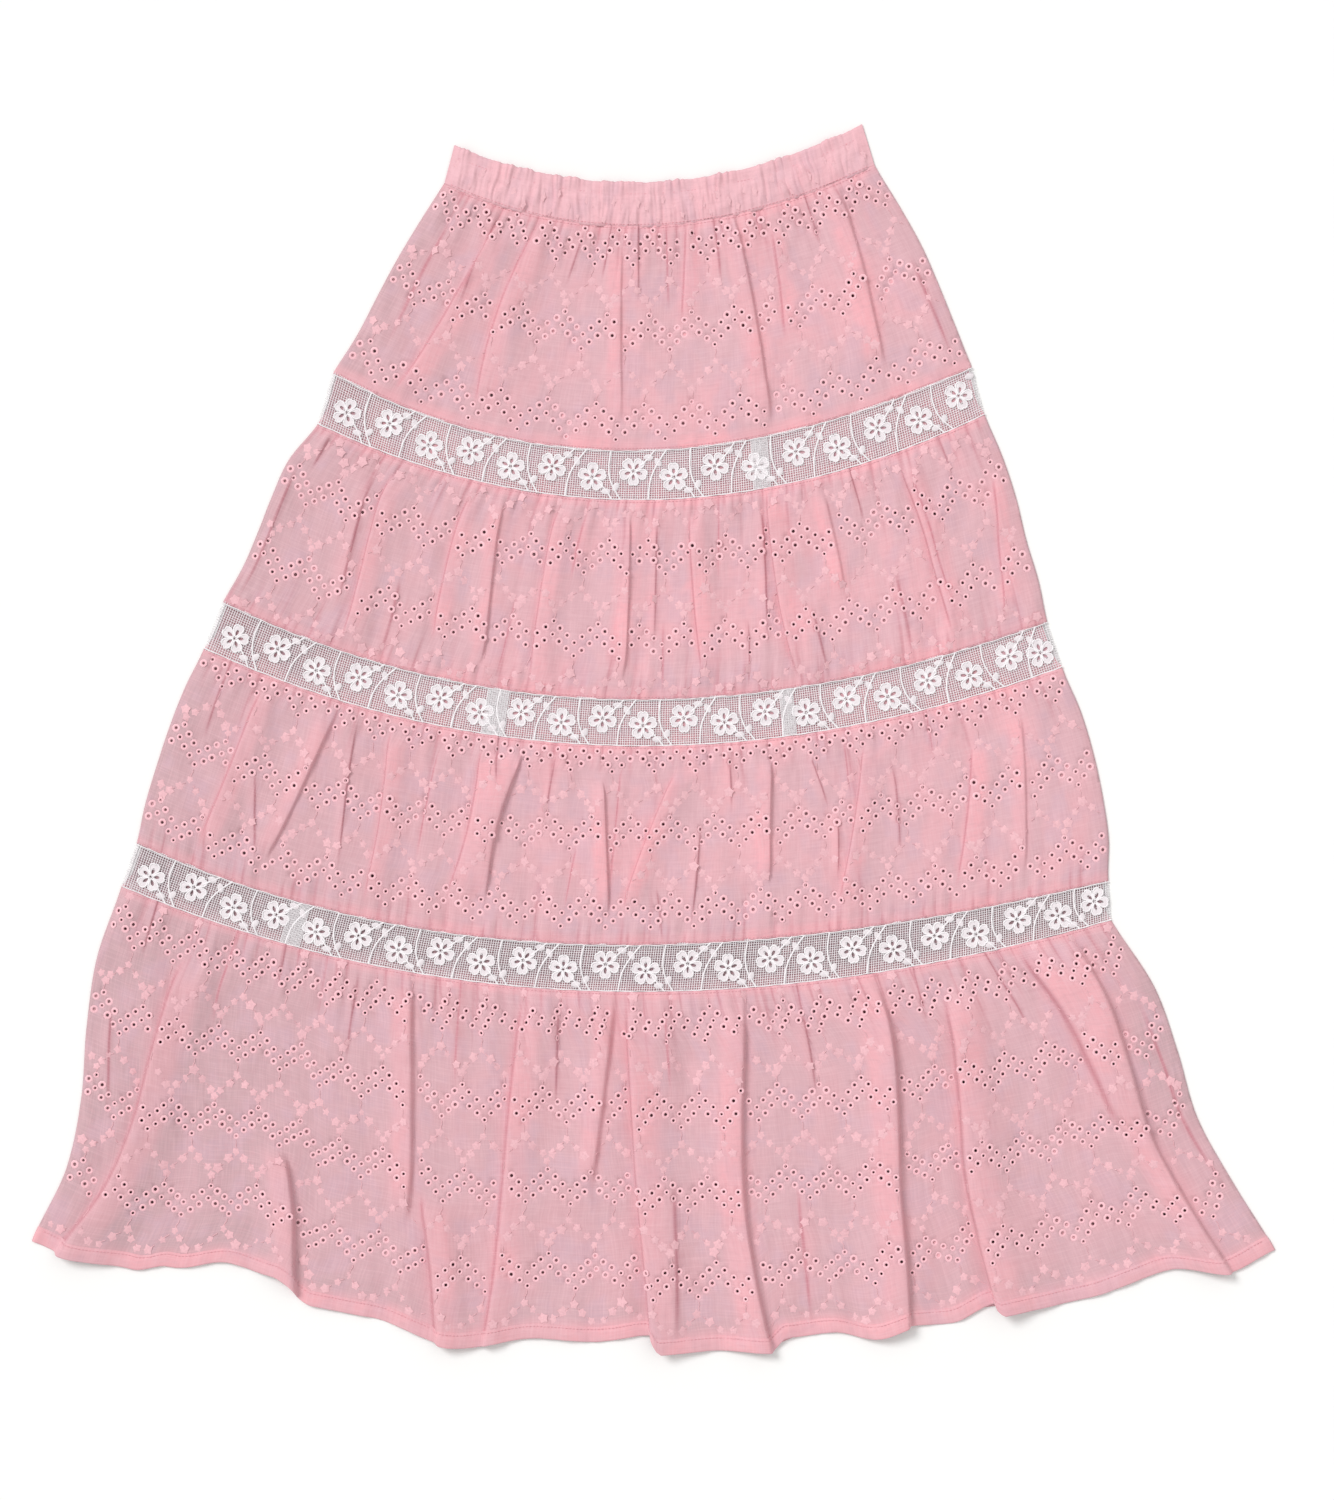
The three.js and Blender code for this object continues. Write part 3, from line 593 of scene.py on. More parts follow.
def scatter_tree():
    sockets = (("Shape", "NodeSocketObject"), ("Size", "NodeSocketFloat"), ("Finish", "NodeSocketMaterial"))
    tree = node_tree("shapes on cloth", sockets)
    given = wire(tree, "NodeGroupInput")
    shape = wire(tree, "GeometryNodeObjectInfo", {"Object": given.outputs["Shape"]})
    up, across, size = (
        wire(tree, "GeometryNodeInputNamedAttribute", {"Name": name}, data_type="FLOAT_VECTOR")
        for name in ("up", "across", "size")
    )
    turned = wire(
        tree,
        "FunctionNodeAxesToRotation",
        {0: up.outputs["Attribute"], 1: across.outputs["Attribute"]},
        primary_axis="Z",
        secondary_axis="X",
    )
    sized = {0: size.outputs["Attribute"], 3: given.outputs["Size"]}
    scale = wire(tree, "ShaderNodeVectorMath", sized, operation="SCALE")
    placed = wire(
        tree,
        "GeometryNodeInstanceOnPoints",
        {
            "Points": given.outputs["Geometry"],
            "Instance": shape.outputs["Geometry"],
            "Rotation": turned.outputs[0],
            "Scale": scale.outputs[0],
        },
    )
    return ended(tree, given, placed)


def thread_tree():
    sockets = (("Radius", "NodeSocketFloat"), ("Sides", "NodeSocketInt"), ("Finish", "NodeSocketMaterial"))
    tree = node_tree("threads along lines", sockets)
    given = wire(tree, "NodeGroupInput")
    lines = wire(tree, "GeometryNodeMeshToCurve", {"Mesh": given.outputs["Geometry"]})
    section = wire(
        tree,
        "GeometryNodeCurvePrimitiveCircle",
        {"Radius": given.outputs["Radius"], "Resolution": given.outputs["Sides"]},
    )
    tube = wire(
        tree,
        "GeometryNodeCurveToMesh",
        {"Curve": lines.outputs[0], "Profile Curve": section.outputs[0], "Fill Caps": True},
    )
    return ended(tree, given, tube)


SCATTER = scatter_tree()
THREADS = thread_tree()


def bake_nodes(source, name, tree, values):
    """Runs a node tree on an object and keeps the result as a plain mesh."""
    modifier = source.modifiers.new("nodes", "NODES")
    modifier.node_group = tree
    named = {item.name: item.identifier for item in tree.interface.items_tree if item.in_out == "INPUT"}
    for socket, value in values.items():
        modifier[named[socket]] = value
    evaluated = source.evaluated_get(bpy.context.evaluated_depsgraph_get())
    mesh = bpy.data.meshes.new_from_object(evaluated)
    mesh.name = name
    made = bpy.data.objects.new(name, mesh)
    bpy.context.scene.collection.objects.link(made)
    source.modifiers.remove(modifier)
    bpy.data.objects.remove(source)
    smooth(made)
    return made


def scatter(name, points, up, across, sizes, shape, finish):
    """Copies of a small shape on the cloth. Points are mm, and shape is in mm about its own middle."""
    source = new_object(name + "_points", points * MM, [])
    for label, values in (("up", up), ("across", across), ("size", sizes)):
        attribute = source.data.attributes.new(label, "FLOAT_VECTOR", "POINT")
        attribute.data.foreach_set("vector", np.asarray(values, np.float32).ravel())
    return bake_nodes(source, name, SCATTER, {"Shape": shape, "Size": MM, "Finish": finish})


def threads(name, lines, radius, sides, finish):
    """Round threads along lines of points in mm, all of them in one piece."""
    points = np.concatenate(lines) * MM
    edges, start = [], 0
    for line in lines:
        edges += [(start + k, start + k + 1) for k in range(len(line) - 1)]
        start += len(line)
    source = new_object(name + "_lines", points, [], edges=edges)
    return bake_nodes(source, name, THREADS, {"Radius": radius * MM, "Sides": sides, "Finish": finish})


def join(name, pieces):
    """One object made of several, which are already at the origin."""
    first = pieces[0]
    with bpy.context.temp_override(active_object=first, selected_editable_objects=pieces, object=first):
        bpy.ops.object.join()
    first.name = name
    first.data.name = name
    return first


# Shader maths as Python expressions

class Signal:
    """A shader value: sums and products with it add Math nodes."""

    def __init__(self, finish, socket):
        self.finish, self.socket = finish, socket

    def math(self, operation, *others):
        terms = dict(enumerate((self,) + others))
        return self.finish.value("ShaderNodeMath", terms, operation=operation)

    def __add__(self, other):
        return self.math("ADD", other)

    def __mul__(self, other):
        return self.math("MULTIPLY", other)

    def __rsub__(self, other):
        return self.finish.value("ShaderNodeMath", {0: other, 1: self}, operation="SUBTRACT")

    __radd__ = __add__
    __rmul__ = __mul__

    def clamp(self):
        return self.finish.value("ShaderNodeClamp", {0: self})

    def above(self, low, high):
        """0 below low, 1 above high, and smooth between."""
        return self.finish.value(
            "ShaderNodeMapRange", {0: self, 1: low, 2: high, 3: 0.0, 4: 1.0}, interpolation_type="SMOOTHSTEP"
        )


class Finish:
    """A material under construction."""

    def __init__(self, name):
        self.material = bpy.data.materials.new(name)
        self.material.use_nodes = True
        self.tree = self.material.node_tree
        self.tree.nodes.clear()

    def node(self, kind, sockets=None, **settings):
        node = self.tree.nodes.new(kind)
        for name, value in settings.items():
            setattr(node, name, value)
        for socket, value in (sockets or {}).items():
            if isinstance(value, Signal):
                self.tree.links.new(value.socket, node.inputs[socket])
            else:
                node.inputs[socket].default_value = value
        return node

    def value(self, kind, sockets=None, output=0, **settings):
        return Signal(self, self.node(kind, sockets, **settings).outputs[output])

    def share(self, name):
        return self.value("ShaderNodeAttribute", attribute_name=name, output=2)

    def flat_place(self, across, down):
        """The cloth's own coordinates, scaled to so many mm for each unit both ways."""
        place = self.value("ShaderNodeUVMap", uv_map="flat")
        return self.value("ShaderNodeMapping", {0: place, 3: (1 / (across * MM), 1 / (down * MM), 1)})

    def object_place(self, size):
        place = self.value("ShaderNodeTexCoord", output=3)
        return self.value("ShaderNodeMapping", {0: place, 3: (1 / (size * MM),) * 3})

    def noise(self, place, detail):
        sockets = {"Vector": place, "Scale": 1.0, "Detail": detail, "Roughness": 0.5}
        return self.value("ShaderNodeTexNoise", sockets)

    def blend(self, share, first, second):
        mixer = self.tree.nodes.new("ShaderNodeMix")
        mixer.data_type = "RGBA"
        for socket, value in zip((0, 6, 7), (share, first, second)):
            if isinstance(value, Signal):
                self.tree.links.new(value.socket, mixer.inputs[socket])
            else:
                mixer.inputs[socket].default_value = value
        return Signal(self, mixer.outputs[2])

    def surface(self, height, distance, constants, **varying):
        """The surface: constants set on the shader, what varies linked to it, and a bump."""
        bump = self.value("ShaderNodeBump", {"Strength": 1.0, "Distance": distance * MM, "Height": height})
        sockets = dict(constants)
        sockets.update({name.replace("_", " "): value for name, value in varying.items()})
        sockets["Normal"] = bump
        shader = self.node("ShaderNodeBsdfPrincipled", sockets)
        out = self.tree.nodes.new("ShaderNodeOutputMaterial")
        self.tree.links.new(shader.outputs[0], out.inputs[0])
        return self.material


def linear(red, green, blue):
    """A screen colour in levels of 0 to 255, as the shader takes it."""
    def one(level):
        level /= 255
        return level / 12.92 if level <= 0.04045 else ((level + 0.055) / 1.055) ** 2.4
    return (one(red), one(green), one(blue), 1.0)


def cotton_finish(name, single, folded):
    """Thin pink cotton: paler mauve where it lies single over the layer below, warmer pink where full."""
    finish = Finish(name)
    full = finish.share("fullness")
    sheer = finish.share("sheer")
    patches = finish.noise(finish.flat_place(38, 60), 3.0)
    streaks = finish.noise(finish.flat_place(1.1, 24), 3.0)
    slubs = finish.noise(finish.flat_place(26, 1.0), 3.0)
    woven = {"Vector": finish.flat_place(3.6, 3.6), "Scale": 1.0}
    warp = finish.value("ShaderNodeTexWave", woven, bands_direction="X")
    weft = finish.value("ShaderNodeTexWave", woven, bands_direction="Y")
    creased = finish.share("creased")
    warmth = (full * 0.8 + patches.above(0.42, 0.62) * 0.5).clamp()
    base = finish.blend(warmth, single, folded)
    seen_through = (sheer * (patches.above(0.3, 0.6) * 0.5 + 0.5)).clamp()
    base = finish.blend(seen_through, base, linear(194, 160, 166))
    cool = finish.noise(finish.flat_place(24, 33), 2.0).above(0.48, 0.66) * (1 - full * 0.7)
    base = finish.blend(cool * 0.5, base, linear(206, 170, 184))
    # Painted soft shade of faint crumples: long darker mauve streaks down the cloth.
    crumple_shade = finish.noise(finish.flat_place(6, 50), 3.0)
    base = finish.blend(crumple_shade.above(0.48, 0.78) * 0.35, base, linear(205, 158, 166))
    # Crease lines painted darker pink: partly the deeper colour of cloth lying doubled, partly painted shade.
    base = finish.blend(creased * 0.85, base, linear(186, 106, 120))
    shaded = finish.share("shaded")
    base = finish.blend(shaded, base, linear(100, 84, 90))
    grain = finish.noise(finish.flat_place(7, 3), 4.0)
    base = finish.blend(grain.above(0.46, 0.7) * 0.3, base, linear(206, 158, 166))
    thread_share = (streaks.above(0.35, 0.75) * 0.5 + slubs.above(0.4, 0.75) * 0.5) * 0.42
    colour = finish.blend(thread_share, base, linear(243, 200, 206))
    height = warp * 0.25 + weft * 0.25 + streaks * 0.5 + slubs * 0.6
    constants = {"Sheen Weight": 0.25, "Sheen Roughness": 0.5, "Specular IOR Level": 0.2}
    return finish.surface(height, 0.09, constants, Base_Color=colour, Roughness=0.78 + 0.14 * slubs)


def thread_finish(name, dark, light, size):
    finish = Finish(name)
    fine = finish.noise(finish.object_place(size), 2.0)
    wide = finish.noise(finish.object_place(size * 14), 2.0)
    colour = finish.blend((fine * 0.6 + wide * 0.4).above(0.3, 0.7), dark, light)
    constants = {"Sheen Weight": 0.2, "Specular IOR Level": 0.35}
    return finish.surface(fine, 0.06, constants, Base_Color=colour, Roughness=0.5 + 0.3 * fine)


COTTON = cotton_finish("pink cotton", linear(217, 172, 180), linear(240, 172, 180))
BAND_COTTON = cotton_finish("pale pink cotton", linear(228, 182, 190), linear(238, 182, 190))
SATIN = thread_finish("pink satin stitch", linear(240, 186, 195), linear(251, 201, 209), 0.5)
FLORET_SATIN = thread_finish("pink floret stitch", linear(224, 174, 182), linear(241, 190, 197), 1.4)
STITCH_THREAD = thread_finish("pink sewing thread", linear(222, 156, 168), linear(240, 180, 188), 0.4)
LACE_NET = thread_finish("white net thread", linear(246, 240, 243), linear(255, 252, 254), 0.6)
LACE_SATIN = thread_finish("white satin stitch", linear(242, 236, 239), linear(255, 252, 254), 0.5)
# A greyer copy of the white lace thread, as painted shade on the lower petal grounds and the leaves.
LACE_SATIN_SHADED = thread_finish("white petal ground", linear(222, 213, 217), linear(242, 235, 238), 0.4)


# Small shapes, in mm about their own middle, flat on their XY plane and raised along Z

def shape_object(name, points, faces):
    thing = new_object(name, np.array(points, float), faces)
    thing.hide_render = True
    return thing


def band_faces(first, second, around):
    """Faces between two closed rows of points, which start at these numbers."""
    after = [(k + 1) % around for k in range(around)]
    return [(first + k, second + k, second + after[k], first + after[k]) for k in range(around)]


def turned_point(a, b, turn):
    return a * math.cos(turn) - b * math.sin(turn), a * math.sin(turn) + b * math.cos(turn)


def ring_shape(name, sides, profile):
    """A stitched ring, from its inner edge to its outer edge."""
    points, faces = [], []
    for radius, height in profile:
        for k in range(sides):
            angle = math.tau * k / sides
            points.append((radius * math.cos(angle), radius * math.sin(angle), height))
    for band in range(len(profile) - 1):
        faces += band_faces(band * sides, (band + 1) * sides, sides)
    return shape_object(name, points, faces)


def floret_shape(name, petals, outer, inner, height):
    """A small satin flower: a raised middle, domed petals and notches between them."""
    points, faces = [(0, 0, height * 0.7)], []
    around = petals * 2
    for radius_share, z in ((0.55, height), (1.0, 0.0)):
        for k in range(around):
            radius = (outer if k % 2 == 0 else inner) * radius_share
            angle = math.tau * k / around
            points.append((radius * math.cos(angle), radius * math.sin(angle), z if k % 2 == 0 else z * 0.5))
    for k in range(around):
        after = (k + 1) % around
        faces.append((0, 1 + k, 1 + after))
        faces.append((1 + k, 1 + around + k, 1 + around + after, 1 + after))
    return shape_object(name, points, faces)


def stitch_shape(name, length, radius):
    """One sewn stitch: a short bowed thread that dives into the cloth at both ends."""
    points, faces = [], []
    stations = ((-0.5, 0.15, -0.6), (-0.3, 0.9, 0.35), (0.3, 0.9, 0.35), (0.5, 0.15, -0.6))
    for along, thick, rise in stations:
        for k in range(4):
            angle = math.tau * k / 4
            y = radius * thick * math.cos(angle)
            z = radius * (rise + thick * math.sin(angle))
            points.append((along * length, y, z))
    for part in range(len(stations) - 1):
        faces += band_faces(part * 4, (part + 1) * 4, 4)
    return shape_object(name, points, faces)


PETAL = ((1.4, 0), (2.2, 0.9), (4.2, 2.3), (6.2, 3.6), (8.2, 4.1), (10.2, 3.2), (11.1, 1.4), (10.3, 0))
PETAL_MIDDLE = 8.0
SLOT_MIDDLE, SLOT_LENGTH, SLOT_WIDTH = 4.9, 2.5, 1.2


def petal_outline(points_around, scale=1.0):
    """A petal's outline in mm along and across its axis, notched at its tip."""
    half = np.array(PETAL)
    whole = np.concatenate([half, half[-2:0:-1] * (1, -1)])
    whole = np.concatenate([whole, whole[:1]])
    t = np.arange(points_around) / points_around
    outline = np.stack([curve_through(whole[:, 0], t), curve_through(whole[:, 1], t)], axis=1)
    middle = np.array([PETAL_MIDDLE, 0])
    return middle + (outline - middle) * scale


def petal_ground_shape(name, around):
    """The five petals' ground, thin and slightly domed, with an open slot in each."""
    points, faces = [], []
    outline = petal_outline(around)
    angle = np.arctan2(outline[:, 1], outline[:, 0] - SLOT_MIDDLE)
    slot = np.stack([SLOT_MIDDLE + SLOT_LENGTH * np.cos(angle), SLOT_WIDTH * np.sin(angle)], axis=1)
    for petal in range(5):
        turn = math.tau * petal / 5
        start = len(points)
        for ring, height in ((slot, 0.1), (mix(slot, outline, 0.5), 0.32), (outline, 0.1)):
            points += [turned_point(a, b, turn) + (height,) for a, b in ring]
        for inner in (start, start + around):
            faces += band_faces(inner, inner + around, around)
    return shape_object(name, points, faces)


def petal_cords_shape(name, around, cords):
    """Stitched cords along the petals' outlines: each has a scale of the outline, a radius and a height."""
    points, faces = [], []
    for petal in range(5):
        turn = math.tau * petal / 5
        for scale, radius, height in cords:
            outline = petal_outline(around, scale)
            ahead = np.roll(outline, -1, axis=0) - np.roll(outline, 1, axis=0)
            ahead /= np.linalg.norm(ahead, axis=1)[:, None]
            start = len(points)
            for (a, b), (da, db) in zip(outline, ahead):
                for side, rise in ((-1, 0), (0, 1), (1, 0)):
                    pa, pb = a + db * side * radius, b - da * side * radius
                    points.append(turned_point(pa, pb, turn) + (height + rise * radius * 1.2,))
            for k in range(around):
                after = (k + 1) % around
                for side in range(2):
                    low, high = start + k * 3 + side, start + after * 3 + side
                    faces.append((low, low + 1, high + 1, high))
    return shape_object(name, points, faces)


def leaf_shape(name):
    """A pointed satin leaf with a sunk middle vein."""
    points, faces = [], []
    for along in np.linspace(0, 1, 7)[:6]:
        half = 2.5 * math.sin(math.pi * min(along * 1.1, 1)) ** 0.7
        for side, height in ((-1, 0.05), (-0.5, 0.75), (0, 0.35), (0.5, 0.75), (1, 0.05)):
            points.append((along * 9.6, side * half, height if 0 < along < 1 else 0.1))
    for row in range(5):
        for column in range(4):
            k = row * 5 + column
            faces.append((k, k + 5, k + 6, k + 1))
    return shape_object(name, points, faces)


EYELET_RING = ring_shape("eyelet_ring", 8, ((1.12, -0.55), (1.6, 0.3), (2.3, 0.42), (RING_RADIUS, -0.05)))
PLAIN_RING = ring_shape("plain_ring", 7, ((1.4, 0.28), (RING_RADIUS, -0.04)))
FLORET = floret_shape("floret", 5, 4.4, 3.0, 0.3)
STITCH = stitch_shape("stitch", 2.3, 0.26)
PETALS = petal_ground_shape("petals", 13)
PETAL_CORDS = petal_cords_shape("petal_cords", 16, ((1.0, 0.6, 0.3),))
BACK_CORDS = petal_cords_shape("back_cords", 9, ((1.0, 0.6, 0.1),))
LEAF = leaf_shape("lace_leaf")


# The tiers

# Rows of points between the closer rows at the seams lie about this far apart, in mm
MESH_ROWS = {"front": 6.2, "back": 9}
# How far from a hole's middle points of the cloth and edges along folds stay, in mm
POINTS_OFF, EDGES_OFF = 2.1, 1.9


def cloth_rows(tier, face):
    """Places down the cloth of its rows of points: close near the seams, wider between."""
    near = [0, 1.2, 2.8, 5, 8, 11.5]
    behind = np.linspace(-tier.behind, 0, 4) if face == "back" and tier.behind else []
    last = tier.drop - (1.0 if tier.bottom == "hem" else 0)
    foot = [last] if tier.bottom == "hem" else [tier.drop - t for t in near]
    between = np.linspace(near[-1], foot[-1], int((last - 20) / MESH_ROWS[face]) + 2)[1:-1]
    return np.unique(np.concatenate([behind, near, between, foot]))


def guides(tier, v, width):
    """Where folds, creases and gathers cross a row of points: places across, each under its own label."""
    found = {}
    for number, fold in enumerate(FOLDS[tier.name]):
        if fold.start <= v <= fold.end:
            middle = fold_middle(fold, v)
            reach = fold.steep * SHARPEN * fold.steep_right / width
            for step in (-0.4, 0, 0.2, 0.5, 0.8, 1.05):
                found["fold", number, step] = middle + step * reach
    for number, crease in enumerate(CREASES[tier.name]):
        if crease.start <= v <= crease.end:
            along = (v - crease.start) / (crease.end - crease.start)
            reach = crease.width * 0.42 * crease.steep_right / width
            for step in (-0.8, -0.2, 0.2, 0.55, 1):
                found["crease", number, step] = mix(crease.top, crease.foot, along) + step * reach
    to_seam = min(v, 1 if tier.bottom == "hem" else 1 - v)
    for count, turn, reach, wide in seam_gathers(tier):
        if to_seam < reach:
            for at, _, _ in gather_list(count, turn):
                for step in (-1, -0.5, 0, 0.5) if wide > 0.5 else (-1, 0):
                    found["gather", count, at, step] = at + step * wide / count
    return {label: place for label, place in found.items() if 0.002 < place < 0.998}


def guided_row(laid, t):
    """A row's guided points: places along the flat cloth and their labels, none too close to the next."""
    tier = laid.tier
    fine = np.linspace(0, tier.width, laid.ACROSS)
    across, _ = laid.place(fine, np.full(laid.ACROSS, t))
    width = float(piece_plan(tier, 1, t / tier.drop)[0] - piece_plan(tier, 0, t / tier.drop)[0])
    found = guides(tier, t / tier.drop, width)
    labels = sorted(found, key=found.get)
    placed = np.interp([found[label] for label in labels], across, fine)
    kept, last = {}, 0
    for label, s in zip(labels, placed):
        if last + 0.35 < s < tier.width - 0.35:
            kept[label] = last = s
    return kept


def cloth_points(laid, holes, coarse):
    """Flat places of the cloth's points, the holes' edges first, and the edges that follow the folds."""
    tier = laid.tier
    sides = 8 if laid.face == "front" else 6
    _, _, _, wide, tall = laid.frames(holes[:, 0], holes[:, 1])
    angle = math.tau * (np.arange(sides) + 0.5) / sides
    radius = HOLE_RADIUS * holes[:, 2]
    s = holes[:, :1] + (radius / wide)[:, None] * np.cos(angle)
    t = holes[:, 1:2] + (radius / tall)[:, None] * np.sin(angle)
    flat = [np.stack([s.ravel(), t.ravel()], axis=1)]
    near = KDTree(len(holes))
    for k, (s, t, _) in enumerate(holes):
        near.insert((s, t, 0), k)
    near.balance()
    random = np.random.default_rng(3)
    rows = cloth_rows(tier, laid.face)
    count, above, edges = len(flat[0]), {}, []
    for number, t in enumerate(rows):
        k = int(np.clip(round(t / tier.drop * (laid.DOWN - 1)), 0, laid.DOWN - 1))
        spacing = laid.spacing(k) * coarse
        share = laid.share[k] * tier.width
        density = np.concatenate([[0], np.cumsum(np.diff(share) / spacing[1:])])
        steps = np.linspace(0, density[-1], int(density[-1]) + 1) + (0.5 if number % 2 else 0)
        loose = np.interp(steps, density, share)
        guided = guided_row(laid, t) if laid.face == "front" else {}
        lined = np.array([0, tier.width] + list(guided.values()))
        loose = loose[np.abs(loose[:, None] - lined[None, :]).min(axis=1) > 0.9]
        wobble = 0 if number in (0, len(rows) - 1) else 0.6
        down = np.concatenate([np.full(len(lined), t), t + random.uniform(-wobble, wobble, len(loose))])
        across = np.concatenate([lined, loose])
        keep = np.array([near.find((a, b, 0))[2] > POINTS_OFF for a, b in zip(across, down)])
        flat.append(np.stack([across, down], axis=1)[keep])
        index = count - 1 + np.cumsum(keep)
        here = {label: (index[2 + k], s, t) for k, (label, s) in enumerate(guided.items()) if keep[2 + k]}
        for label in here.keys() & above.keys():
            (first, s0, t0), (second, s1, t1) = above[label], here[label]
            along = [(mix(s0, s1, part), mix(t0, t1, part), 0) for part in (0.25, 0.5, 0.75)]
            if min(near.find(place)[2] for place in along) > EDGES_OFF:
                edges.append((int(first), int(second)))
        count, above = count + int(keep.sum()), here
    return np.concatenate(flat), len(holes) * sides, sides, sorted(edges)


def off_folds(laid, s, t, reach):
    """Whether flat places are clear of the steep sides of folds, which hide the embroidery on them."""
    if laid.face == "back":
        return np.ones(len(s), bool)
    clear = np.ones(len(s), bool)
    for shift in (-reach, 0, reach):
        u, v = laid.place(s + shift, t)
        clear &= fold_shape(laid.tier, u, v, width_at(laid.tier, v))[3][:2].max(axis=0) < 0.3
    return clear


def lay_cloth(tier, turn, face):
    """The cloth of one tier, as thin cloth with its eyelets cut through."""
    laid = LaidCloth(tier, turn, face)
    holes = eyelet_places(tier, BACK_SHIFT[face])
    holes = holes[off_folds(laid, holes[:, 0], holes[:, 1], 1.2)]
    flat, edge_points, sides, edges = cloth_points(laid, holes, 1.0 if face == "front" else 2.4)
    found = delaunay_2d_cdt([Vector(p * MM) for p in flat], edges, [], 0, 1e-9, True)
    origin = np.array([given[0] if given else edge_points for given in found[3]])
    flat = np.array([tuple(place) for place in found[0]]) / MM
    faces = np.array(found[2])
    owner = np.where(origin[faces] < edge_points, origin[faces] // sides, -1 - faces)
    in_hole = (owner[:, 0] == owner[:, 1]) & (owner[:, 1] == owner[:, 2])
    faces = faces[~in_hole]
    a, b, c = (flat[faces[:, k]] for k in range(3))
    area = np.cross(b - a, c - a)
    faces = faces[np.abs(area) > 1e-4]
    area = area[np.abs(area) > 1e-4]
    upward = faces[:, ::-1] if face == "front" else faces
    downward = faces if face == "front" else faces[:, ::-1]
    faces = np.where((area > 0)[:, None], upward, downward)
    points = laid.points(flat[:, 0], flat[:, 1])
    cloth = new_object(f"{tier.name}_cloth_{face}", points * MM, faces.tolist(), COTTON)
    smooth(cloth)
    set_uv(cloth, flat)
    for name, share in zip(("fullness", "sheer", "creased", "shaded"), shades(laid, flat, points)):
        set_share(cloth, name, share)
    thicken(cloth, CLOTH)
    return cloth, laid, holes


def shades(laid, flat, points):
    """Where cloth looks full, where it shows what is below it, the painted deeper pink and painted shade of
    its creases, and where the lace shades it.
    """
    tier = laid.tier
    x, y = points[:, 0], points[:, 1]
    u, v = laid.place(flat[:, 0], flat[:, 1])
    width = width_at(tier, v)
    doubled, creased = fold_shape(tier, u, v, width)[2:]
    # Crease lines get painted shade, weighted by how the key light falls: stronger where a fold's steep side
    # faces the light (0.8) than where it already lies in shadow (0.35); the valleys between gathers get
    # painted shade lines too.
    creased = np.max(creased * [[0.35], [0.8], [0.9]], axis=0)
    creased = np.maximum(creased, 0.7 * gather_shade_lines(tier, u, v, width))
    if laid.face == "back":
        doubled, creased = 1.3 + 0 * doubled, 0 * creased
    seam = 1 - ease((flat[:, 1] - 3) / 6)
    foot = 1 - ease((tier.drop - flat[:, 1] - (HEM_DEPTH if tier.bottom == "hem" else 6)) / 5)
    full = np.clip(np.maximum(0.7 * doubled, 0.7 * np.maximum(seam, foot)), 0, 1)
    low = ease((60 - y) / 420)
    left = 1 - ease((x + 420 - 0.2 * y) / 400)
    side = 1 - ease(np.minimum(u, 1 - u) * width / 26)
    patch = np.exp(-((x - 405) / 30) ** 2 - ((y + 249) / 55) ** 2)
    above_hem = ridge(flat[:, 1] - (tier.drop - HEM_DEPTH - 9), 16) * (tier.bottom == "hem")
    sheer = 0.42 * low + 0.75 * left + 0.4 * side + 0.8 * patch + 0.3 * above_hem
    sheer = np.clip(sheer * (1 - 0.7 * full), 0, 1)
    behind = ease(-flat[:, 1] / 3)
    shaded = behind * (0.55 if tier.bottom == "hem" else 0.04 + 0.42 * (1 - ease((x + 290) / 120)))
    sheer = mix(sheer, 1 if tier.bottom == "hem" else 0, behind)
    return full * (1 - behind), sheer, creased * (1 - behind), shaded


def embroider(tier, laid, holes, face):
    """The stitched eyelet rings, florets and little stems of a tier, in one piece."""
    here, up, across, *_ = laid.frames(holes[:, 0], holes[:, 1])
    sizes = np.stack([holes[:, 2], holes[:, 2], np.ones(len(holes))], axis=1)
    ring = EYELET_RING if face == "front" else PLAIN_RING
    rings = scatter(f"{tier.name}_rings_{face}", here + up * CLOTH / 2, up, across, sizes, ring, SATIN)
    florets, stems = floret_places(tier, BACK_SHIFT[face])
    florets = florets[off_folds(laid, florets[:, 0], florets[:, 1], 3)]
    here, up, across, *_ = laid.frames(florets[:, 0], florets[:, 1])
    side = np.cross(up, across)
    turned = across * np.cos(florets[:, 2])[:, None] + side * np.sin(florets[:, 2])[:, None]
    random = np.random.default_rng(21)
    scale = random.uniform(0.75, 1.12, len(florets))
    sizes = np.stack([scale, scale, np.ones(len(florets))], axis=1)
    name = f"{tier.name}_florets_{face}"
    flowers = scatter(name, here + up * CLOTH / 2, up, turned, sizes, FLORET, FLORET_SATIN)
    if face == "back":
        return join(f"{tier.name}_embroidery_{face}", [rings, flowers])
    ends = np.array(stems)
    along = np.linspace(0, 1, 4)[None, :]
    s = mix(ends[:, 0, :1], ends[:, 1, :1], along) + np.array([0, 0.5, -0.3, 0])
    t = mix(ends[:, 0, 1:], ends[:, 1, 1:], along)
    at, up, *_ = laid.frames(s.ravel(), t.ravel())
    lines = list((at + up * (CLOTH / 2 + 0.05)).reshape(-1, 4, 3))
    stalks = threads(f"{tier.name}_stems_{face}", lines, 0.45, 3, FLORET_SATIN)
    return join(f"{tier.name}_embroidery_{face}", [rings, flowers, stalks])


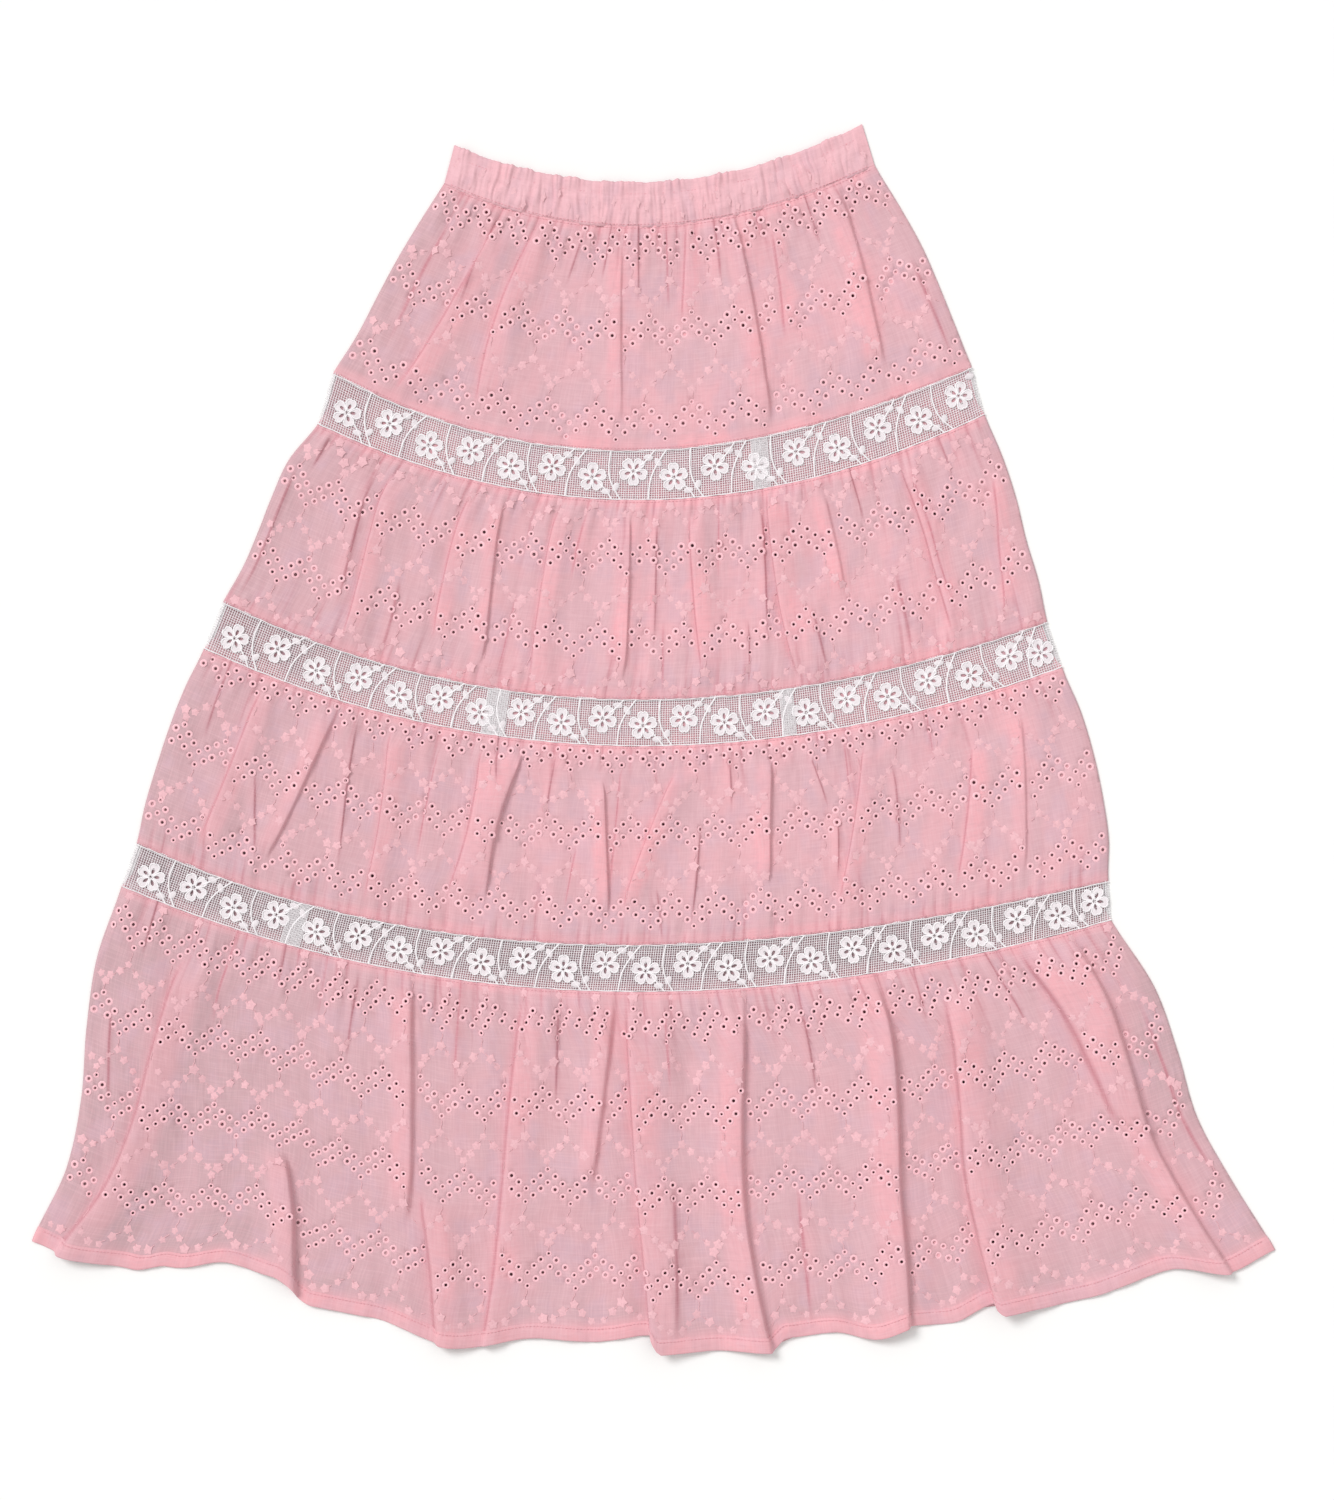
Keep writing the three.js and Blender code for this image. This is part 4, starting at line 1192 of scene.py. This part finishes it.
def turned_hem(tier, laid, face):
    """The double hem: a flat folded band along the free edge, rounded at its fold."""
    profile = (
        (-HEM_DEPTH, 0.1), (-HEM_DEPTH + 0.3, 0.5), (-HEM_DEPTH * 0.5, 0.62), (-1.2, 0.6), (-0.2, 0.4),
        (0.15, 0.05), (-0.2, -0.3), (-1.2, -0.42), (-HEM_DEPTH * 0.5, -0.45), (-HEM_DEPTH + 0.3, -0.4),
        (-HEM_DEPTH, -0.1),
    )
    last = laid.DOWN - 1
    steps = np.diff(laid.share[last] * tier.width) / laid.spacing(last)[1:]
    density = np.concatenate([[0], np.cumsum(steps)])
    s = np.interp(np.linspace(0, density[-1], int(density[-1] * 1.1)), density, laid.share[last] * tier.width)
    points, flat = [], []
    inset = 2.0 if face == "back" else 0.0
    for t_off, n_off in profile:
        t = np.full(len(s), tier.drop - inset + t_off)
        at, up, *_ = laid.frames(s, t)
        pucker = 0.12 * np.sin(s * 0.9) * (abs(t_off) > 2) + 0.08 * np.sin(s * 2.3 + 1)
        points.append(at + up * (n_off * (1 if face == "front" else 0.75) + pucker * (n_off > 0.3))[:, None])
        flat.append(np.stack([s, t + n_off], axis=1))
    count = len(s)
    faces = []
    for row in range(len(profile)):
        below = (row + 1) % len(profile)
        for k in range(count - 1):
            faces.append((row * count + k, below * count + k, below * count + k + 1, row * count + k + 1))
    faces.append([row * count for row in range(len(profile))][::-1])
    faces.append([row * count + count - 1 for row in range(len(profile))])
    points = np.concatenate(points)
    points[:, 2] = np.maximum(points[:, 2], 0.05)
    hem = new_object(f"{tier.name}_hem_{face}", points * MM, faces, COTTON)
    smooth(hem)
    set_uv(hem, np.concatenate(flat))
    set_share(hem, "fullness", np.full(len(points), 0.6))
    set_share(hem, "sheer", np.full(len(points), 0.15))
    return hem


def stitch_line(name, at, up):
    """Sewn stitches along a line of points in mm, which are close together."""
    pitch = 2.9
    run = np.concatenate([[0], np.cumsum(np.linalg.norm(np.diff(at, axis=0), axis=1))])
    places = np.arange(pitch, run[-1] - pitch, pitch)
    here, above, next_to = (
        np.stack([np.interp(wanted, run, values[:, k]) for k in range(3)], axis=1)
        for wanted, values in ((places, at), (places, up), (places + 0.5, at))
    )
    sizes = np.ones((len(places), 3))
    return scatter(name, here, above, next_to - here, sizes, STITCH, STITCH_THREAD)


def tier_stitches(tier, laid, face):
    """The rows of stitches that hold a tier in its seams and close its hem."""
    s = np.linspace(3, tier.width - 3, int(tier.width / 1.2))
    lines = [1.9] if tier.bottom == "hem" else [1.9, tier.drop - 1.9]
    pieces = []
    for number, t in enumerate(lines):
        at, up, *_ = laid.frames(s, np.full(len(s), t))
        pieces.append(stitch_line(f"{tier.name}_seam_{number}_{face}", at + up * (CLOTH / 2 + 0.08), up))
    if tier.bottom == "hem":
        at, up, *_ = laid.frames(s, np.full(len(s), tier.drop - HEM_DEPTH + 2))
        pieces.append(stitch_line(f"{tier.name}_hemming_{face}", at + up * 0.75, up))
    return join(f"{tier.name}_stitches_{face}", pieces)


def finish_piece(piece, node=None):
    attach(piece, "root")
    if node:
        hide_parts(node)


def make_tier(number, tier):
    for face in ("front", "back"):
        cloth, laid, holes = lay_cloth(tier, number, face)
        finish_piece(cloth, f"{tier.name}_{face}")
        extras = [embroider(tier, laid, holes, face)]
        if face == "front":
            extras.append(tier_stitches(tier, laid, face))
        if tier.bottom == "hem":
            extras.append(turned_hem(tier, laid, face))
        for extra in extras:
            finish_piece(extra)


# The lace bands

LACE_REST = {"front": 2.3, "back": 0.66}
NET_PITCH = {"front": 1.9, "back": 2.1}
NET_RADIUS = {"front": 0.31, "back": 0.31}
FLOWER_STEP = 33.4
# Steps in which the net's threads are tested for slots, and the wider ones between their points
THREAD_STEP, THREAD_POINTS = 0.7, 11


def lace_point(lace, face, along, down):
    """A point of a lace band, in mm along its middle and down from its upper seam."""
    u = np.clip(along / lace.width, 0, 1)
    v = down / lace.depth
    x, y = piece_plan(lace, u, v)
    ripple = 0.12 * np.sin(along / 23) + 0.1 * np.sin(along / 9.7 + down / 12)
    sign = 1 if face == "front" else -1
    to_edge = np.minimum(u, 1 - u) * lace.width
    round_off = rounded(to_edge, 4)
    z = LACE_REST[face] + sign * (ripple * (1 if face == "front" else 0.4))
    return np.stack([x, y, mix(z, SIDE_MEETING, round_off)], axis=1)


def lace_frames(lace, face, along, down):
    along, down = np.asarray(along, float), np.asarray(down, float)
    here = lace_point(lace, face, along, down)
    across = lace_point(lace, face, along + 0.5, down) - lace_point(lace, face, along - 0.5, down)
    lower = lace_point(lace, face, along, down + 0.5) - lace_point(lace, face, along, down - 0.5)
    across /= np.linalg.norm(across, axis=1)[:, None]
    up = np.cross(lower, across) * (1 if face == "front" else -1)
    up /= np.linalg.norm(up, axis=1)[:, None]
    return here, up, across


def flower_places(lace):
    """Each flower's place along and down the band, and whether it is one of the low ones."""
    along = np.minimum(np.arange(0.55 * FLOWER_STEP, lace.width + 3, FLOWER_STEP), lace.width - 12.5)
    low = np.arange(len(along)) % 2 == 0
    return along, np.where(low, lace.depth * 0.56, lace.depth * 0.42), low


def slot_places(lace):
    """The middles of the open slots in the flowers' petals, along and down the band."""
    along, down, low = flower_places(lace)
    turns = math.pi / 2 + np.where(low, 0, math.pi / 5)[:, None] + math.tau * np.arange(5)[None, :] / 5
    slots_along = along[:, None] + SLOT_MIDDLE * np.cos(turns)
    slots_down = down[:, None] - SLOT_MIDDLE * np.sin(turns)
    return slots_along.ravel(), slots_down.ravel()


def open_runs(along, down, slots):
    """A net thread in parts, broken where it would cross an open slot: places along and down the band."""
    clear = np.hypot(along[:, None] - slots[0][None, :], down[:, None] - slots[1][None, :]).min(axis=1) > 1.5
    ends = np.flatnonzero(np.diff(np.concatenate([[False], clear, [False]]).astype(int)))
    for start, stop in zip(ends[::2], ends[1::2] - 1):
        if stop > start:
            count = max(2, int((stop - start) * THREAD_STEP / THREAD_POINTS) + 1)
            kept = np.round(np.linspace(start, stop, count)).astype(int)
            yield along[kept], down[kept]


def lace_net(lace, face):
    """The square net, with the doubled strips where two lengths of lace are joined."""
    random = np.random.default_rng(31)
    pitch = NET_PITCH[face]
    lines = []
    slots = slot_places(lace)
    for k in range(1, int(lace.width / pitch)):
        down = np.arange(-1.5, lace.depth + 1.5, THREAD_STEP)
        for part, drop in open_runs(np.full(len(down), k * pitch), down, slots):
            lines.append(lace_point(lace, face, part + random.normal(0, 0.12, len(part)), drop))
    for down in np.arange(-0.6, lace.depth + 1, pitch):
        along = np.arange(0, lace.width + THREAD_STEP, THREAD_STEP)
        for part, drop in open_runs(along, np.full(len(along), down), slots):
            lines.append(lace_point(lace, face, part, drop + random.normal(0, 0.12, len(part))))
    if face == "front":
        for at, wide in lace.joins:
            middle = at * lace.width
            for along in np.arange(middle - wide / 2, middle + wide / 2, pitch * 0.5):
                line = lace_point(lace, face, np.full(4, along), np.linspace(0, lace.depth, 4))
                lines.append(line + np.array([0, 0, 0.4]))
            for down in np.arange(0.4, lace.depth, pitch):
                across = np.linspace(middle - wide / 2, middle + wide / 2, 3)
                line = lace_point(lace, face, across, np.full(3, down))
                lines.append(line + np.array([0, 0, 0.4]))
    return threads(f"{lace.name}_net_{face}", lines, NET_RADIUS[face], 3, LACE_NET)


def lace_motifs(lace, face):
    """Flowers, leaves and curved stems in turn along the band, one flower low and the next one high."""
    spots, down, low = flower_places(lace)
    here, up, across = lace_frames(lace, face, spots, down)
    side = np.cross(up, across)
    turn = np.where(low, math.pi / 2, math.pi / 2 + math.pi / 5)[:, None]
    turned = across * np.cos(turn) + side * np.sin(turn)
    flatter = 1 if face == "front" else 0.4
    sizes = np.tile((1, 1, flatter), (len(spots), 1))
    lower, upper = here + up * 0.2 * flatter, here + up * 0.25 * flatter
    grounds = scatter(f"{lace.name}_petals_{face}", lower, up, turned, sizes, PETALS, LACE_SATIN_SHADED)
    cords = PETAL_CORDS if face == "front" else BACK_CORDS
    flowers = scatter(f"{lace.name}_flowers_{face}", upper, up, turned, sizes, cords, LACE_SATIN)
    leaves, points, stems = [], [], []
    for spot, is_low in zip(spots, low):
        flip = 1 if is_low else -1
        start, stop = (0.56 * lace.depth, lace.depth) if is_low else (0.42 * lace.depth, 0)
        for ahead, downward, angle in ((7.5, 12.8, -0.1), (17.5, 12, -1.05)):
            points.append((spot + ahead, start + flip * downward * 0.95))
            leaves.append((math.cos(angle), flip * math.sin(angle)))
        stems.append([(spot + 6, start + flip * 5), (spot + 12, start + flip * 11), (spot + 17, stop)])
        if is_low:
            bends = ((14, 0), (13, 0.35), (16, 0.68), (24, 1))
        else:
            bends = ((27, 0), (19, 0.3), (14, 0.62), (13, 1))
        stems.append([(spot + ahead, lace.depth * share) for ahead, share in bends])
    points = np.array(points)
    inside = points[:, 0] < lace.width - 8
    here, up, across = lace_frames(lace, face, points[inside, 0], points[inside, 1])
    side = np.cross(up, across)
    way = np.array(leaves)[inside]
    turned = across * way[:, :1] - side * way[:, 1:]
    sizes = np.tile((1, 1, flatter), (len(here), 1))
    name = f"{lace.name}_leaves_{face}"
    leaf = scatter(name, here + up * 0.3 * flatter, up, turned, sizes, LEAF, LACE_SATIN_SHADED)
    lines = []
    for stem in stems:
        stem = np.array(stem)
        if stem[:, 0].max() > lace.width - 2:
            continue
        t = np.linspace(0, 1, 8)
        along = curve_through(stem[:, 0], t)
        down_at = curve_through(stem[:, 1], t)
        at, up, _ = lace_frames(lace, face, along, down_at)
        lines.append(at + up * 0.45 * flatter)
    stalks = threads(f"{lace.name}_stems_{face}", lines, 0.72 if face == "front" else 0.45, 4, LACE_SATIN)
    lines = []
    for down in (0.3, lace.depth - 0.3):
        along = np.linspace(0, lace.width, int(lace.width / 4))
        at, up, _ = lace_frames(lace, face, along, down + 0.25 * np.sin(along * 1.9))
        lines.append(at + up * (0.7 if face == "front" else 0.1))
    edges = threads(f"{lace.name}_edges_{face}", lines, 0.42, 4, LACE_SATIN)
    return join(f"{lace.name}_motifs_{face}", [grounds, flowers, leaf, stalks, edges])


def make_lace(lace):
    for face in ("front", "back"):
        net = lace_net(lace, face)
        finish_piece(net, f"{lace.name}_{face}")
        motifs = lace_motifs(lace, face)
        finish_piece(motifs)


# The waistband

# The casing's front runs on under the seam, and its cloth is mapped this much wider than it lies
BAND_END = 1.04
BAND_MAPPED = 1.5


def band_point(u, v, face):
    """The elastic casing and its header, in mm: v is 0 at the header's edge and 1 at the seam."""
    x, y = piece_plan(WAISTBAND, u, v)
    header = WAISTBAND.header
    in_channel = ease((v - header) / 0.06)
    puckers = np.zeros_like(u)
    wander = 0.0016 * np.sin(5.1 * v + 37 * u) + 0.0012 * np.sin(9.3 * v - 53 * u + 1)
    for count, turn, height, slant in ((41, 0.6, 0.8, 0.9), (61, 4.0, 0.6, -1.2), (97, 2.1, 0.45, 0.8)):
        for at, share, run in gather_list(count, turn):
            lean = slant * math.sin(23 * at + turn) * (v - 0.5) * mix(0.5, 1, in_channel)
            wide = mix(0.5, 0.34 + 0.16 * run, in_channel)
            fade = 0.6 + 0.4 * np.sin(6.3 * v * run + 50 * at)
            puckers += height * share * fade * np.sqrt(ridge((u + wander - at) * count - lean, wide))
    puckers = 2.3 * puckers + 0.3 * np.sin(u * 61 + 9 * v) * np.sin(v * 7 + 31 * u)
    at_stitches = 1 - 0.7 * ridge(v - header, 0.06)
    channel = 0.6 * ease((v - header) / 0.12) * ease((BAND_END - v) / 0.3)
    y = y + (puckers - 1.3) * 0.6 * ease((0.14 - v) / 0.14)
    edge = ease(np.minimum(u, 1 - u) / 0.03)
    if face == "back":
        return x, y, mix(SIDE_MEETING, BACK_REST - 0.16 * np.clip(puckers, 0, 2.4) * at_stitches, edge)
    z = FRONT_REST + channel + puckers * at_stitches * mix(1, 0.45, ease((v - 0.8) / 0.24))
    return x, y, mix(SIDE_MEETING, z, edge)


def band_florets():
    """The cloth's florets on the casing, narrowed by its gathers."""
    random = np.random.default_rng(44)
    u = np.arange(0.012, 0.99, 0.021)
    count = len(u)
    u = u + random.normal(0, 0.004, count)
    v = np.array((0.44, 0.62, 0.82))[np.arange(count) % 3] + random.normal(0, 0.03, count)
    at = np.stack(band_point(u, v, "front"), axis=1)
    up = np.tile((0.0, 0.0, 1.0), (count, 1))
    across = np.stack(band_point(u + 0.002, v, "front"), axis=1) - at
    sizes = np.tile((0.5, 0.95, 0.5), (count, 1)) * random.uniform(0.8, 1.15, (count, 1))
    return scatter("waistband_florets", at + up * 0.25, up, across, sizes, FLORET, FLORET_SATIN)


def make_waistband():
    for face, columns, rows in (("front", 570, 15), ("back", 280, 8)):
        end = BAND_END if face == "front" else 1
        u, v = np.meshgrid(np.linspace(0, 1, columns), np.linspace(0, end, rows))
        points = np.stack(band_point(u.ravel(), v.ravel(), face), axis=1)
        faces = grid_faces(rows, columns)
        if face == "back":
            faces = [face_points[::-1] for face_points in faces]
        band = new_object(f"waistband_cloth_{face}", points * MM, faces, BAND_COTTON)
        smooth(band)
        flat = np.stack([u.ravel() * WAISTBAND.width * BAND_MAPPED, v.ravel() * WAISTBAND.depth], axis=1)
        set_uv(band, flat)
        set_share(band, "fullness", np.full(len(points), 0.4))
        set_share(band, "sheer", np.zeros(len(points)))
        thicken(band, CLOTH)
        finish_piece(band, f"waistband_{face}")
        extras = []
        if face == "front":
            for name, v_at in (("header", WAISTBAND.header), ("seam", 0.965)):
                u = np.linspace(0.01, 0.99, 700)
                at = np.stack(band_point(u, np.full_like(u, v_at), face), axis=1)
                up = np.tile((0.0, 0.0, 1.0), (len(u), 1))
                extras.append(stitch_line(f"waistband_{name}", at + up * 0.3, up))
            extras = [join("waistband_stitches", extras), band_florets()]
            for extra in extras:
                finish_piece(extra)


# Floor, light and camera

def make_stage():
    half = 6.0
    corners = [(-half, -half, 0), (half, -half, 0), (half, half, 0), (-half, half, 0)]
    floor = new_object("floor", corners, [(0, 1, 2, 3)])
    finish = Finish("pale floor")
    soft = finish.noise(finish.object_place(900), 1.0)
    colour = finish.blend(soft * 0.15, linear(248, 248, 247), linear(245, 245, 244))
    floor.data.materials.append(finish.surface(soft, 0.01, {}, Base_Color=colour, Roughness=0.9))
    world = bpy.data.worlds.new("studio")
    world.use_nodes = True
    world.node_tree.nodes["Background"].inputs[0].default_value = (1, 0.99, 0.98, 1)
    world.node_tree.nodes["Background"].inputs[1].default_value = 0.65
    bpy.context.scene.world = world
    lights = (("key", (-1.5, 1.3, 2.1), 1.7, 24), ("fill", (1.5, 0.3, 2.4), 0.2, 60))
    for name, place, strength, softness in lights:
        light = bpy.data.lights.new(name, "SUN")
        light.energy = strength
        light.angle = math.radians(softness)
        lamp = bpy.data.objects.new(name, light)
        lamp.location = place
        lamp.rotation_euler = (-Vector(place)).to_track_quat("-Z", "Y").to_euler()
        bpy.context.scene.collection.objects.link(lamp)


def make_camera():
    data = bpy.data.cameras.new("camera")
    data.sensor_fit = "VERTICAL"
    data.sensor_height = 36
    data.lens = 36 * CAMERA_HEIGHT / (PHOTO_HEIGHT * MM_PER_PIXEL * MM)
    camera = bpy.data.objects.new("camera", data)
    right = (PHOTO_WIDTH / 2 - SKIRT_MIDDLE[0]) * MM_PER_PIXEL * MM
    down = (PHOTO_HEIGHT / 2 - SKIRT_MIDDLE[1]) * MM_PER_PIXEL * MM
    camera.location = (right, -down, CAMERA_HEIGHT)
    bpy.context.scene.collection.objects.link(camera)
    bpy.context.scene.camera = camera


make_camera()
make_stage()
for number, tier in enumerate(TIERS):
    make_tier(number, tier)
for lace in LACES:
    make_lace(lace)
make_waistband()
for shape in (EYELET_RING, PLAIN_RING, FLORET, STITCH, PETALS, PETAL_CORDS, BACK_CORDS, LEAF):
    bpy.data.objects.remove(shape)
bpy.context.scene.view_settings.view_transform = "Standard"
